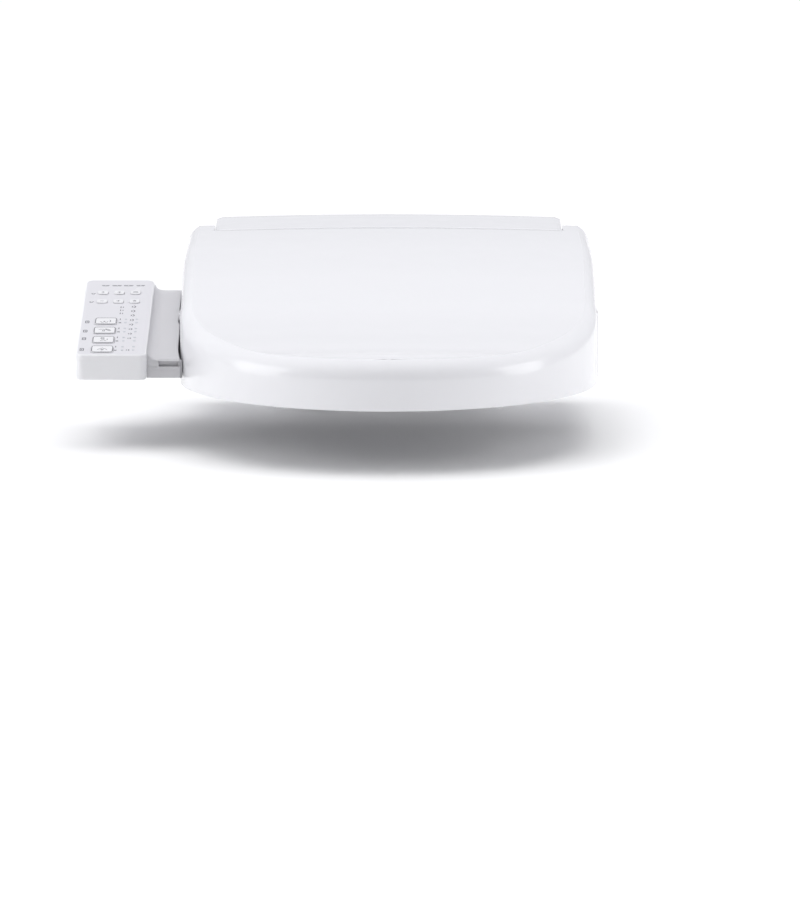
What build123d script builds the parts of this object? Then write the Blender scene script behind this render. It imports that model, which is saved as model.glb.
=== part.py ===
from build123d import *
import math
import os

os.makedirs("parts", exist_ok=True)

# Electric bidet seat for an elongated bowl. Millimetres.
# X runs across the bowl, the control panel is on the -X side, -Y is the front and +Z is up.
# The origin lies midway between the two bowl bolts, on the rim that the unit rests on.

# ---- driving dimensions ----
WALL = 3.0

# lid and seat plan: a half ellipse at the front and nearly parallel sides
PLAN_CENTRE_Y = -241.0
LID_HALF_WIDTH = 190.5
LID_FRONT_REACH = 223.0
LID_REAR_HALF_WIDTH = 193.0
LID_BOTTOM_Z = 5.0
LID_EAR_REAR_Y = 16.0
LID_TOP_ROUND = 9.0
# side profile of the lid's top, front to rear (y, z)
LID_TOP = [
    (-480, 50.2),
    (-440, 50.2),
    (-400, 51.2),
    (-340, 59.5),
    (-262, 78),
    (-195, 94),
    (-110, 109),
    (-20, 121.5),
    (30, 124),
]
LID_SKIRT_STEP_Z = 63.0
LID_REAR_WALL_Z = 104.0
LID_CHEEK_R = 13.8
LID_CHEEK_T = 2.5
EAR_GAP = 0.8

# common hinge line of the seat and the lid
HINGE_Y = 2.0
HINGE_Z = 110.0
HINGE_SHAFT_R = 4.5
RUNNING_GAP = 0.05

# seat ring
SEAT_HALF_WIDTH = 183.0
SEAT_FRONT_REACH = 213.0
SEAT_REAR_Y = -26.0
SEAT_BOTTOM_Z = 5.0
SEAT_TOP = [
    (-480, 32),
    (-400, 33.5),
    (-335, 39),
    (-262, 57),
    (-195, 77),
    (-110, 93),
    (-60, 100),
    (0, 107),
]
SEAT_ARM_R = 8.4
SEAT_ARM_X = (171.0, 181.0)
OPENING_CENTRE_Y = -270.0
OPENING_HALF_WIDTH = 108.0
OPENING_FRONT_REACH = 130.0
OPENING_REAR_REACH = 112.0

# base unit
BASE_HALF_WIDTH = 194.0
BASE_FRONT_Y = -110.0
BASE_REAR_Y = 54.0
BASE_BOTTOM_Z = 1.5
BASE_SPLIT_Z = 57.0
WING_FRONT_Y = -190.0
WING_INNER_X = 158.0
WING_TOP_Z = 60.0
STRIP_HALF_WIDTH = 165.8
STRIP_FRONT_Y = -19.5
STRIP_FRONT_Z = 124.0
STRIP_REAR_Z = 129.6
STRIP_SAG = 3.0
SLOPE_FOOT_Z = 64.0
SLOPE_HEAD_Z = 96.0

# mounting plate and bolts
PLATE_HALF_WIDTH = 95.0
PLATE_FRONT_Y = -34.0
PLATE_REAR_Y = 38.0
PLATE_T = 6.0
BOLT_SPACING = 140.0
BOLT_SHANK_R = 3.5
BOLT_THREAD_R = 3.3
BOLT_END_Z = -52.0
RIM_THICKNESS = 30.0
BUSHING_HEIGHT = 10.0
WASHER_TOP_Z = -40.8
WASHER_T = 1.6
NUT_TOP_Z = -42.6
NUT_HEIGHT = 8.0
CHANNEL_HALF_WIDTH = 95.6
CHANNEL_TOP_Z = 10.0

# control panel, on a plane that rises to the rear
PANEL_X = -251.0
PANEL_HALF_WIDTH = 32.0
PANEL_FRONT_Y = -300.0
PANEL_REAR_Y = -115.0
PANEL_FRONT_Z = 35.0
PANEL_REAR_Z = 84.0
PANEL_BOTTOM_Z = 12.0
PANEL_COVER_T = 5.0
PANEL_CORNER_R = 7.0
KEY_TRAVEL = 0.4
KEY_PROUD = 0.9

# wand, on an axis that falls to the front
WAND_TILT = 30.0
WAND_PORT = (0.0, -112.0, 20.0)
WAND_R = 8.0
WAND_LENGTH = 140.0
RACK_TOOTH_PITCH = math.pi
PINION_TEETH = 12
PINION_PITCH_R = PINION_TEETH * RACK_TOOTH_PITCH / (2 * math.pi)
RACK_PITCH_UP = -10.9
RACK_BAR_LOW = RACK_PITCH_UP + 1.0
PINION_BACK = 30.0
PINION_AXIS_UP = RACK_PITCH_UP - PINION_PITCH_R
SIN_TILT = math.sin(math.radians(WAND_TILT))
COS_TILT = math.cos(math.radians(WAND_TILT))

# air, water and power, inside the base unit and in its sides
DRYER_X0, DRYER_X1 = -66.0, -26.0
BLOWER = (-75.0, -22.0)
DEODORISER = (131.0, -80.0, 29.0)
FILTER_Y0, FILTER_Y1 = -98.0, -64.0
FILTER_Z0, FILTER_Z1 = 12.0, 46.0
BUTTON_Y, BUTTON_Z = -28.0, 26.0
INLET_Y, INLET_Z = 30.0, 28.0
INLET_THREAD_R = 10.48
GLAND_Y, GLAND_Z = 12.0, 28.0
CORD_R = 3.5
PORT_HOLE_R = 8.2

# key and indicator layout on the panel: (x, y, width, length) and (x, y)
LARGE_KEYS = [(-259.5, y, 20, 15.5) for y in (-220, -242.4, -264.8, -287.2)]
SMALL_KEYS = [(x, y, 9.5, 8.5) for y in (-149, -171) for x in (-265.7, -250.6, -235.5)]
LENS_ROWS = (-214, -222, -236, -244, -258, -266, -280, -288)
INDICATORS = [(x, y) for y in LENS_ROWS for x in (-241.5, -231.5)]
LENS_R = 1.2

BOLTS = (-BOLT_SPACING / 2, BOLT_SPACING / 2)
SIDES = (-1, 1)


# ---- small shape helpers ----
def box(x0, x1, y0, y1, z0, z1):
    return Pos((x0 + x1) / 2, (y0 + y1) / 2, (z0 + z1) / 2) * Box(x1 - x0, y1 - y0, z1 - z0)


def round_box(x0, x1, y0, y1, z0, z1, r):
    """A box with rounded upright edges."""
    solid = box(x0, x1, y0, y1, z0, z1)
    return fillet(solid.edges().filter_by(Axis.Z), r)


def cyl_z(x, y, z0, z1, r):
    return Pos(x, y, (z0 + z1) / 2) * Cylinder(r, z1 - z0)


def cyl_x(x0, x1, y, z, r):
    return Pos((x0 + x1) / 2, y, z) * Rot(0, 90, 0) * Cylinder(r, abs(x1 - x0))


def cyl_y(x, y0, y1, z, r):
    return Pos(x, (y0 + y1) / 2, z) * Rot(90, 0, 0) * Cylinder(r, y1 - y0)


def prism_x(points, x0, x1):
    """A polygon of (y, z) points, carried along X."""
    face = make_face(Polyline(*points, close=True))
    return extrude(Plane.YZ.offset(x0) * face, amount=x1 - x0)


def under_curve(points, floor_z, x_half, drop=0.0):
    """The solid under a smooth (y, z) curve, down to a flat floor."""
    curve = Spline(*[(y, z - drop) for y, z in points])
    start, end = curve @ 0, curve @ 1
    sides = Polyline(end, (end.X, floor_z), (start.X, floor_z), start)
    return extrude(Plane.YZ.offset(-x_half) * make_face(curve + sides), amount=2 * x_half)


def mirrored(solid):
    """The solid and its twin on the other side of the centre plane."""
    return [solid, mirror(solid, about=Plane.YZ)]


def save(name, *solids):
    shape = solids[0] if len(solids) == 1 else Compound(children=list(solids))
    export_step(shape, f"parts/{name}.step")


# ---- shared outlines ----
def lid_plan(inset):
    half, reach = LID_HALF_WIDTH - inset, LID_FRONT_REACH - inset
    rear_half = LID_REAR_HALF_WIDTH - inset
    nose = Pos(0, PLAN_CENTRE_Y) * Ellipse(half, reach)
    sides = Polyline(
        (-half, PLAN_CENTRE_Y),
        (-rear_half, -100),
        (-rear_half, LID_EAR_REAR_Y - inset),
        (rear_half, LID_EAR_REAR_Y - inset),
        (rear_half, -100),
        (half, PLAN_CENTRE_Y),
        close=True,
    )
    plan = nose + make_face(sides)
    rear = plan.vertices().sort_by(Axis.Y)[-2:]
    return fillet(rear, 10 - inset)


def seat_plan(inset):
    half, reach = SEAT_HALF_WIDTH - inset, SEAT_FRONT_REACH - inset
    nose = Pos(0, PLAN_CENTRE_Y) * Ellipse(half, reach)
    rear_y = SEAT_REAR_Y - inset
    body = Pos(0, (PLAN_CENTRE_Y + rear_y) / 2) * Rectangle(2 * half, rear_y - PLAN_CENTRE_Y)
    return nose + body


def opening_plan(grow):
    """The egg-shaped opening of the seat ring."""
    half = OPENING_HALF_WIDTH + grow
    front = Ellipse(half, OPENING_FRONT_REACH + grow) & Pos(0, -200) * Rectangle(400, 400)
    rear = Ellipse(half, OPENING_REAR_REACH + grow) & Pos(0, 200) * Rectangle(400, 400)
    return Pos(0, OPENING_CENTRE_Y) * (front + rear)


def base_plan(inset):
    half = BASE_HALF_WIDTH - inset
    front, rear = BASE_FRONT_Y + inset, BASE_REAR_Y - inset
    wing_front, wing_inner = WING_FRONT_Y + inset, WING_INNER_X + inset
    plan = make_face(
        Polyline(
            (-half, wing_front),
            (-wing_inner, wing_front),
            (-wing_inner, front),
            (wing_inner, front),
            (wing_inner, wing_front),
            (half, wing_front),
            (half, rear),
            (-half, rear),
            close=True,
        )
    )
    rear_corners = plan.vertices().sort_by(Axis.Y)[-2:]
    plan = fillet(rear_corners, 26 - inset)
    noses = plan.vertices().sort_by(Axis.Y)[:4]
    return fillet(noses, 8 - inset)


# ---- mount: stays bolted to the bowl ----
def mounting_plate():
    slab = round_box(-PLATE_HALF_WIDTH, PLATE_HALF_WIDTH, PLATE_FRONT_Y, PLATE_REAR_Y, 0, PLATE_T, 4)
    for undercut in mirrored(box(87, 100, PLATE_FRONT_Y - 1, PLATE_REAR_Y + 1, -1, 3.2)):
        slab -= undercut
    for x in (-BOLT_SPACING / 2, BOLT_SPACING / 2):
        slab -= Pos(x, 0, PLATE_T / 2) * extrude(SlotOverall(32, 9.4, rotation=90), 10, both=True)
        slab -= Pos(x, 0, 3.4) * extrude(SlotOverall(42, 19, rotation=90), 10)
    for rib_y in (-26, 30):
        slab -= Pos(0, rib_y, PLATE_T) * Box(90, 5, 3)
    return slab


def mounting_bolt(x):
    head = cyl_z(x, 0, 3.5, PLATE_T, 9)
    neck = box(x - 4.4, x + 4.4, -4.4, 4.4, 0, 3.5)
    shank = cyl_z(x, 0, -RIM_THICKNESS, 0, BOLT_SHANK_R)
    thread = cyl_z(x, 0, BOLT_END_Z, -RIM_THICKNESS, BOLT_THREAD_R)
    return head + neck + shank + thread


def bolt_bushing(x):
    top = -RIM_THICKNESS - 0.6
    cone = Cone(bottom_radius=12, top_radius=7, height=BUSHING_HEIGHT)
    cone = Pos(x, 0, top - BUSHING_HEIGHT / 2) * cone
    return cone - cyl_z(x, 0, top - BUSHING_HEIGHT - 1, -RIM_THICKNESS, BOLT_THREAD_R + 0.1)


def bolt_washer(x):
    low = WASHER_TOP_Z - WASHER_T
    return cyl_z(x, 0, low, WASHER_TOP_Z, 11) - cyl_z(x, 0, low - 1, WASHER_TOP_Z + 1, BOLT_THREAD_R + 0.1)


def wing_nut(x):
    low = NUT_TOP_Z - NUT_HEIGHT
    nut = Pos(x, 0, low) * extrude(RegularPolygon(8, 6), NUT_HEIGHT)
    for side in SIDES:
        wing = extrude(Plane.XZ * RectangleRounded(11, 9, 2.5), 1.6, both=True)
        nut += Pos(x + side * 11, 0, NUT_TOP_Z - 4.5) * wing
    return nut - cyl_z(x, 0, low - 1, NUT_TOP_Z + 1, BOLT_THREAD_R + 0.1)


# ---- base unit: housing ----
def lower_housing():
    shell = extrude(base_plan(0), BASE_SPLIT_Z - BASE_BOTTOM_Z)
    shell -= Pos(0, 0, WALL) * extrude(base_plan(WALL), BASE_SPLIT_Z)
    shell = Pos(0, 0, BASE_BOTTOM_Z) * shell
    # the channel that takes the mounting plate is open to the rear and has lips under the plate's edges
    channel_w = CHANNEL_HALF_WIDTH + WALL
    front, rear = PLATE_FRONT_Y - 6, BASE_REAR_Y
    shell += box(-channel_w, channel_w, front - WALL, rear, BASE_BOTTOM_Z, CHANNEL_TOP_Z + WALL)
    shell -= box(-CHANNEL_HALF_WIDTH, CHANNEL_HALF_WIDTH, front, rear + 1, -1, CHANNEL_TOP_Z)
    for lip in mirrored(box(88, CHANNEL_HALF_WIDTH, front, rear, BASE_BOTTOM_Z, 2.7)):
        shell += lip
    # nozzle port, dryer outlet and deodoriser intake in the front wall
    shell -= box(-13, 13, -112, -106, 4.6, 44)
    shell -= box(DRYER_X0 + 2, DRYER_X1 - 2, -112, -106, 15, 33)
    for k in range(5):
        shell -= box(104 + 7 * k, 108 + 7 * k, -112, -106, 16, 44)
    # side openings: filter drawer, release button, water inlet and cord gland
    shell -= box(185, 200, FILTER_Y0 - 0.5, FILTER_Y1 + 0.5, FILTER_Z0 - 0.5, FILTER_Z1 + 0.5)
    shell -= box(185, 200, BUTTON_Y - 9.4, BUTTON_Y + 9.4, BUTTON_Z - 5.4, BUTTON_Z + 5.4)
    shell -= cyl_x(-200, -185, INLET_Y, INLET_Z, PORT_HOLE_R)
    shell -= cyl_x(185, 200, GLAND_Y, GLAND_Z, PORT_HOLE_R)
    # wiring hole into the side arm
    shell -= cyl_x(-200, -185, -130, 35, 6)
    return shell


def under_crown(drop):
    """Everything under the strip's crowned, sloping top surface, lowered by drop."""
    slope = (STRIP_REAR_Z - STRIP_FRONT_Z) / (BASE_REAR_Y - STRIP_FRONT_Y)
    start_y, end_y = BASE_FRONT_Y - 10, BASE_REAR_Y + 20
    start_z = STRIP_FRONT_Z - (STRIP_FRONT_Y - start_y) * slope
    half = STRIP_HALF_WIDTH + 10
    sag = STRIP_SAG * (half / STRIP_HALF_WIDTH) ** 2
    top = ThreePointArc((-half, -sag - drop), (0, -drop), (half, -sag - drop))
    sides = Polyline((half, -sag - drop), (half, -130), (-half, -130), (-half, -sag - drop))
    start = Plane(origin=(0, start_y, start_z), x_dir=(1, 0, 0), z_dir=(0, -1, 0))
    reach = (end_y - start_y) * math.sqrt(1 + slope * slope)
    return extrude(start * make_face(top + sides), reach, dir=(0, 1, slope))


def cover_profile(drop):
    """Side profile of the upper cover's middle: a slope under the seat and a raised hinge box."""
    low_z = BASE_SPLIT_Z - (5 if drop else 0)
    return [
        (BASE_FRONT_Y + drop, low_z),
        (BASE_FRONT_Y + drop, SLOPE_FOOT_Z - drop),
        (STRIP_FRONT_Y - 4.5 + drop * 1.2, SLOPE_HEAD_Z - drop),
        (STRIP_FRONT_Y + drop, SLOPE_HEAD_Z + 4 - drop),
        (STRIP_FRONT_Y + drop, STRIP_REAR_Z),
        (BASE_REAR_Y - drop, STRIP_REAR_Z),
        (BASE_REAR_Y - drop, low_z),
    ]


def upper_cover():
    skirt = Pos(0, 0, BASE_SPLIT_Z) * extrude(base_plan(0), WING_TOP_Z - BASE_SPLIT_Z)
    top_drop = WALL + RUNNING_GAP
    middle = prism_x(cover_profile(0), -STRIP_HALF_WIDTH, STRIP_HALF_WIDTH) & under_crown(top_drop)
    cover = skirt + middle
    for block in mirrored(round_box(150, 190, 22, BASE_REAR_Y, BASE_SPLIT_Z, 100, 6)):
        cover += block
    hollow = prism_x(cover_profile(WALL), -STRIP_HALF_WIDTH + WALL, STRIP_HALF_WIDTH - WALL)
    cover -= hollow & under_crown(top_drop + WALL)
    for block in mirrored(box(160, 187, 25, BASE_REAR_Y - WALL, 50, 97)):
        cover -= block
    for hole in mirrored(cyl_x(155, 170, HINGE_Y, HINGE_Z, HINGE_SHAFT_R + 0.1)):
        cover -= hole
    return cover


def strip_cover():
    reach = box(-STRIP_HALF_WIDTH, STRIP_HALF_WIDTH, STRIP_FRONT_Y, BASE_REAR_Y, 60, 140)
    plate = (reach & under_crown(0)) - under_crown(WALL)
    long_edges = plate.edges().filter_by(lambda e: e.length > STRIP_HALF_WIDTH)
    ends = long_edges.sort_by(Axis.Y)
    return fillet([ends[:2].sort_by(Axis.Z)[-1], ends[-2:].sort_by(Axis.Z)[-1]], 2.2)


def base_pad(x, y):
    return cyl_z(x, y, 0, BASE_BOTTOM_Z, 9)


def hinge_shaft(side):
    return cyl_x(side * 150.2, side * 183, HINGE_Y, HINGE_Z, HINGE_SHAFT_R)


def soft_close_damper(side):
    barrel = cyl_x(side * 112, side * 150, HINGE_Y, HINGE_Z, 7)
    flange = box(side * 131 - 2, side * 131 + 2, HINGE_Y - 11, HINGE_Y + 11, HINGE_Z - 9, HINGE_Z + 7)
    return barrel + flange


# ---- base unit: side arm and control panel ----
def panel_z(y):
    """Height of the panel's top plane."""
    rise = (PANEL_REAR_Z - PANEL_FRONT_Z) / (PANEL_REAR_Y - PANEL_FRONT_Y)
    return PANEL_FRONT_Z + (y - PANEL_FRONT_Y) * rise


PANEL_SLOPE = math.degrees(math.atan2(PANEL_REAR_Z - PANEL_FRONT_Z, PANEL_REAR_Y - PANEL_FRONT_Y))


def on_panel(x, y, up=0.0):
    """A place on the panel's top plane, with its own tilted axes."""
    return Pos(x, y, panel_z(y)) * Rot(PANEL_SLOPE, 0, 0) * Pos(0, 0, up)


def panel_block(low_drop, high_drop, inset=0.0):
    """The panel's outline between a lower edge (a drop, or a height if None) and a dropped top plane."""
    x0, x1 = PANEL_X - PANEL_HALF_WIDTH + inset, PANEL_X + PANEL_HALF_WIDTH - inset
    y0, y1 = PANEL_FRONT_Y + inset, PANEL_REAR_Y - inset
    plan = RectangleRounded(x1 - x0, y1 - y0, PANEL_CORNER_R - inset)
    column = Pos((x0 + x1) / 2, (y0 + y1) / 2) * extrude(plan, 120)
    low = [(y, PANEL_BOTTOM_Z + inset if low_drop is None else panel_z(y) - low_drop) for y in (y0, y1)]
    high = [(y, panel_z(y) - high_drop) for y in (y1, y0)]
    return column & prism_x(low + high, x0, x1)


def panel_case():
    case = panel_block(None, PANEL_COVER_T)
    case = fillet(case.edges().group_by(Axis.Z)[0], 2.5)
    case -= panel_block(None, PANEL_COVER_T - 1, 2.5)
    case -= box(-222, -215, -160, -130, 24, 44)
    return case


def panel_cover(keys):
    cover = panel_block(PANEL_COVER_T - 0.05, 0)
    rim = cover.edges().filter_by(lambda e: e.center().Z > panel_z(e.center().Y) - 0.5)
    cover = fillet(rim, 2.0)
    cover -= panel_block(PANEL_COVER_T + 1, 2.5, 2.5)
    for x, y, w, l in keys:
        cover -= on_panel(x, y, -5) * extrude(RectangleRounded(w + 0.6, l + 0.6, 2.3), 8)
    for x, y in INDICATORS:
        cover -= on_panel(x, y, -5) * Cylinder(LENS_R + RUNNING_GAP, 12)
    return cover


def panel_key(x, y, w, l):
    cap = on_panel(x, y, -2.2) * extrude(RectangleRounded(w, l, 2.0), 2.2 + KEY_PROUD)
    top = cap.faces().sort_by(lambda f: f.center().Z - panel_z(f.center().Y))[-1]
    cap = fillet(top.edges(), 0.5)
    stem = on_panel(x, y, -4.0) * extrude(Circle(2.0), 2.0)
    return cap + stem


def panel_board():
    plan = RectangleRounded(2 * PANEL_HALF_WIDTH - 10, 176, 3)
    board = on_panel(PANEL_X, (PANEL_FRONT_Y + PANEL_REAR_Y) / 2, -7.2) * extrude(plan, 1.6)
    for y in (-200, -190):
        board += on_panel(PANEL_X + 12, y, -9.2) * Box(9, 7, 4)
    return board


def indicator(x, y):
    return on_panel(x, y, -2.4) * extrude(Circle(LENS_R), 2.7)


def side_arm():
    outer = [(-290, 13), (-290, 22), (-288, 28), (-120, 70), (-78, 70), (-62, 56), (-62, 13)]
    arm = prism_x(outer, -218.8, -196.4)
    arm = fillet(arm.edges().filter_by(Axis.X).group_by(Axis.Z)[-1], 6)
    arm += box(-196.5, -194, -186, -62, 13, 56)
    # the inner side fills up to the lid's skirt, in front of the base unit
    beside_lid = prism_x([(-290, 13), (-290, 22), (-288, 28), (-200, 49.8), (-200, 13)], -196.5, -180)
    arm += beside_lid - extrude(lid_plan(-2.2), 100)
    inner = [(-287, 10), (-287, 20.5), (-285.4, 24.8), (-119.5, 66.8), (-79.2, 66.8), (-65, 54.4), (-65, 10)]
    arm -= prism_x(inner, -215.8, -199.4)
    arm -= cyl_x(-200, -190, -130, 35, 6)
    arm -= box(-220, -212, -160, -130, 24, 44)
    return arm


# ---- base unit: water, air and power ----
def water_inlet():
    stub = cyl_x(-208, -194.2, INLET_Y, INLET_Z, INLET_THREAD_R)
    stub += cyl_x(-194.3, -176, INLET_Y, INLET_Z, 8)
    return stub - cyl_x(-209, -180, INLET_Y, INLET_Z, 5.5)


def solenoid_valve():
    body = round_box(-175.8, -150, 18, 46, 14, 40, 3)
    coil = cyl_z(-163, 37.5, 40, 66, 11)
    return body + coil


def heater_tank():
    tank = round_box(28, 108, -44, 24, 14, 74, 12)
    tank = fillet(tank.faces().sort_by(Axis.Z)[-1].edges(), 5)
    for x in (45, 62):
        tank += cyl_z(x, 10, 74, 84, 5)
    return tank


def air_pump():
    body = round_box(-146, -112, -20, 30, 10.5, 46, 5)
    motor = cyl_y(-129, -52, -20, 28, 14)
    return body + motor


def blower_housing():
    x, y = BLOWER
    scroll = cyl_z(x, y, 15, 43, 30) + box(-66, -45, -50, y, 15, 43)
    hollow = cyl_z(x, y, 17, 41, 28) + box(-64, -47, -51, y, 17, 41)
    shell = scroll - hollow
    return shell - cyl_z(x, y, 40, 44, 3)


def blower_motor():
    x, y = BLOWER
    return cyl_z(x, y, 43.2, 58, 15) - cyl_z(x, y, 43, 50, 3)


def blower_wheel():
    x, y = BLOWER
    wheel = cyl_z(x, y, 19, 21, 25) + cyl_z(x, y, 19, 30, 7) + cyl_z(x, y, 30, 49, 2)
    for k in range(18):
        blade = box(17, 25, -0.7, 0.7, 20.9, 37)
        wheel += Pos(x, y, 0) * Rot(0, 0, 20 * k) * blade
    rim = cyl_z(x, y, 36.9, 38.5, 25) - cyl_z(x, y, 36, 39, 18)
    return wheel + rim


def dryer_duct():
    outer = box(DRYER_X0, DRYER_X1, -106.8, -52, 13, 45) - box(DRYER_X0 + 2, DRYER_X1 - 2, -107, -50, 15, 43)
    return outer


def dryer_heater():
    frame = box(-63, -29, -92, -72, 16, 42) - box(-60, -32, -93, -71, 18, 40)
    for k in range(6):
        frame += box(-60.1, -31.9, -90.5, -73.5, 20 + 3.4 * k, 20.8 + 3.4 * k)
    return frame


def dryer_flap():
    plate = box(DRYER_X0 + 0.5, DRYER_X1 - 0.5, -113.0, -111.0, 12, 39)
    barrel = cyl_x(DRYER_X0 + 4, DRYER_X1 - 4, -112.4, 39.6, 1.8)
    return plate + barrel


def deodoriser_housing():
    x, y, z = DEODORISER
    shell = round_box(110, 147, -104, -56, 6, 52, 4)
    shell -= cyl_x(x - 12, x + 12, y, z, 19)
    shell -= cyl_x(x + 11, 148, y, z, 12)
    return shell - box(114, 143, -105, -90, 18, 40)


def deodoriser_wheel():
    x, y, z = DEODORISER
    wheel = cyl_x(x - 9, x - 7, y, z, 17) + cyl_x(x - 9, x + 6, y, z, 5)
    for k in range(12):
        blade = box(-7.1, 7, -0.7, 0.7, 10, 16.6)
        wheel += Pos(x, y, z) * Rot(30 * k, 0, 0) * blade
    return wheel


def filter_cartridge():
    tray = box(150, 191, FILTER_Y0 + 1, FILTER_Y1 - 1, FILTER_Z0 + 1, FILTER_Z1 - 1)
    tray -= box(152, 189, FILTER_Y0 + 3, FILTER_Y1 - 3, FILTER_Z0 + 3, FILTER_Z1)
    face = box(190.9, 194, FILTER_Y0, FILTER_Y1, FILTER_Z0, FILTER_Z1)
    face = fillet(face.edges().filter_by(Axis.X), 3)
    grip = box(193.9, 195.2, FILTER_Y0 + 9, FILTER_Y1 - 9, FILTER_Z1 - 7, FILTER_Z1 - 5)
    return tray + face + grip


def release_button():
    cap = box(188, 196.5, BUTTON_Y - 9, BUTTON_Y + 9, BUTTON_Z - 5, BUTTON_Z + 5)
    cap = fillet(cap.edges().filter_by(Axis.X), 3)
    cap = fillet(cap.faces().sort_by(Axis.X)[-1].edges(), 1)
    tongue = box(164, 188.1, BUTTON_Y - 5, BUTTON_Y + 5, BUTTON_Z - 3, BUTTON_Z + 3)
    return cap + tongue


def main_board():
    board = box(22, 150, -12, 46, 88, 89.6)
    chips = ((40, 10, 18, 18, 6), (70, 30, 24, 12, 9), (100, 5, 14, 22, 10), (128, 28, 20, 16, 7))
    for x, y, w, l, h in chips:
        board += box(x - w / 2, x + w / 2, y - l / 2, y + l / 2, 89.5, 89.6 + h)
    for x in (62, 86, 112):
        board += cyl_z(x, -4, 89.5, 100, 4)
    return board


def power_box():
    case = round_box(-148, -36, 6, 47, 62, 98, 4)
    for k in range(7):
        case -= box(-136 + 14 * k, -132 + 14 * k, 12, 40, 94, 99)
    return case


def cord_gland():
    gland = cyl_x(178, 193.8, GLAND_Y, GLAND_Z, 8) + cyl_x(174, 178.1, GLAND_Y, GLAND_Z, 10)
    return gland - cyl_x(182, 195, GLAND_Y, GLAND_Z, CORD_R)


def feed_hose():
    path = FilletPolyline((-150, 42, 27), (70, 42, 27), (70, 24, 27), radius=12)
    return sweep(Plane(origin=path @ 0, z_dir=path % 0) * Circle(3.5), path=path)


# ---- wand ----
def on_wand(back=0.0, up=0.0, across=0.0):
    """A place on the wand's axis; local Z points out of the port, local Y points up."""
    x, y, z = WAND_PORT
    y += back * COS_TILT - up * SIN_TILT
    z += back * SIN_TILT + up * COS_TILT
    out = (0, -COS_TILT, -SIN_TILT)
    return Plane(origin=(x + across, y, z), x_dir=(1, 0, 0), z_dir=out).location


def wand_box(half_w, low, high, back, front):
    """A box along the wand: low and high across it, back and front along it."""
    middle = Pos(0, (low + high) / 2, 0)
    return on_wand((back + front) / 2) * middle * Box(2 * half_w, high - low, back - front)


def wand_side(back, up, across):
    """A plane along the wand's side: local X points out of the port, local Y points down."""
    out = (0, -COS_TILT, -SIN_TILT)
    return Plane(origin=on_wand(back, up, across).position, x_dir=out, z_dir=(1, 0, 0))


def wand_tube():
    tube = on_wand((WAND_LENGTH + 18) / 2) * Cylinder(WAND_R, WAND_LENGTH - 18)
    tube -= on_wand((WAND_LENGTH + 30) / 2) * Cylinder(WAND_R - 2.5, WAND_LENGTH - 26)
    tube += wand_box(2.4, RACK_BAR_LOW, -WAND_R + 1.2, WAND_LENGTH - 1, 19)
    tooth = make_face(Polyline((-0.8, -0.1), (0.8, -0.1), (0.35, 1.9), (-0.35, 1.9), close=True))
    count = int((WAND_LENGTH - 24) / RACK_TOOTH_PITCH)
    for k in range(count):
        back = PINION_BACK + (k - 3) * RACK_TOOTH_PITCH
        tube += extrude(wand_side(back, RACK_BAR_LOW, -2.4) * tooth, 4.8)
    return tube


def wand_tip():
    nose = on_wand(9) * Cylinder(WAND_R, 18)
    cap = on_wand(0) * Cylinder(12.5, 3)
    cap = fillet(cap.edges(), 1.0)
    tip = nose + cap
    for back in (6, 12):
        tip -= on_wand(back, 7.5) * Rot(90, 0, 0) * Cylinder(1.2, 5)
    return tip


def nozzle_carrier():
    block = wand_box(12, -12, 11, 142, 2)
    block -= on_wand(75) * Cylinder(WAND_R + RUNNING_GAP, 170)
    block -= wand_box(2.9, -14, 0, 145, 0)
    window = on_wand(PINION_BACK, PINION_AXIS_UP) * Rot(0, 90, 0) * Cylinder(8.2, 5.8)
    return block - window


def wand_pinion():
    centre = on_wand(PINION_BACK, PINION_AXIS_UP)
    gear = centre * Rot(0, 90, 0) * Cylinder(4.9, 4.8)
    tooth = make_face(Polyline((-0.8, 4.7), (0.8, 4.7), (0.35, 6.85), (-0.35, 6.85), close=True))
    side = wand_side(PINION_BACK, PINION_AXIS_UP, 0)
    for k in range(PINION_TEETH):
        turn = 360 * (k + 0.5) / PINION_TEETH
        gear += extrude(side * Rot(0, 0, turn) * tooth, 2.4, both=True)
    return gear + Pos(*centre.position) * cyl_x(2.3, 13.6, 0, 0, 1.5)


def wand_motor():
    x, y, z = on_wand(PINION_BACK, PINION_AXIS_UP).position
    can = cyl_x(14, 26, y, z, 11)
    lugs = box(14, 15.5, y - 16, y + 16, z - 4, z + 4)
    return can + lugs


# ---- seat ----
def seat_envelope(inset, drop, floor_lift, step_back=0.0):
    """The seat's full shape: ring at the front, a thin apron over the base unit at the rear."""
    solid = extrude(seat_plan(inset), 140) & under_curve(SEAT_TOP, -10, 200, drop)
    solid -= Pos(0, 0, -20) * extrude(opening_plan(inset), 160)
    low = SEAT_BOTTOM_Z + floor_lift
    step_y = -197 - inset - step_back
    under = [
        (-500, low),
        (step_y, low),
        (step_y, 63.5 + floor_lift),
        (-113, 68 + floor_lift),
        (20, 117.4 + floor_lift),
        (20, -50),
        (-500, -50),
    ]
    return solid - prism_x(under, -220, 220)


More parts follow.
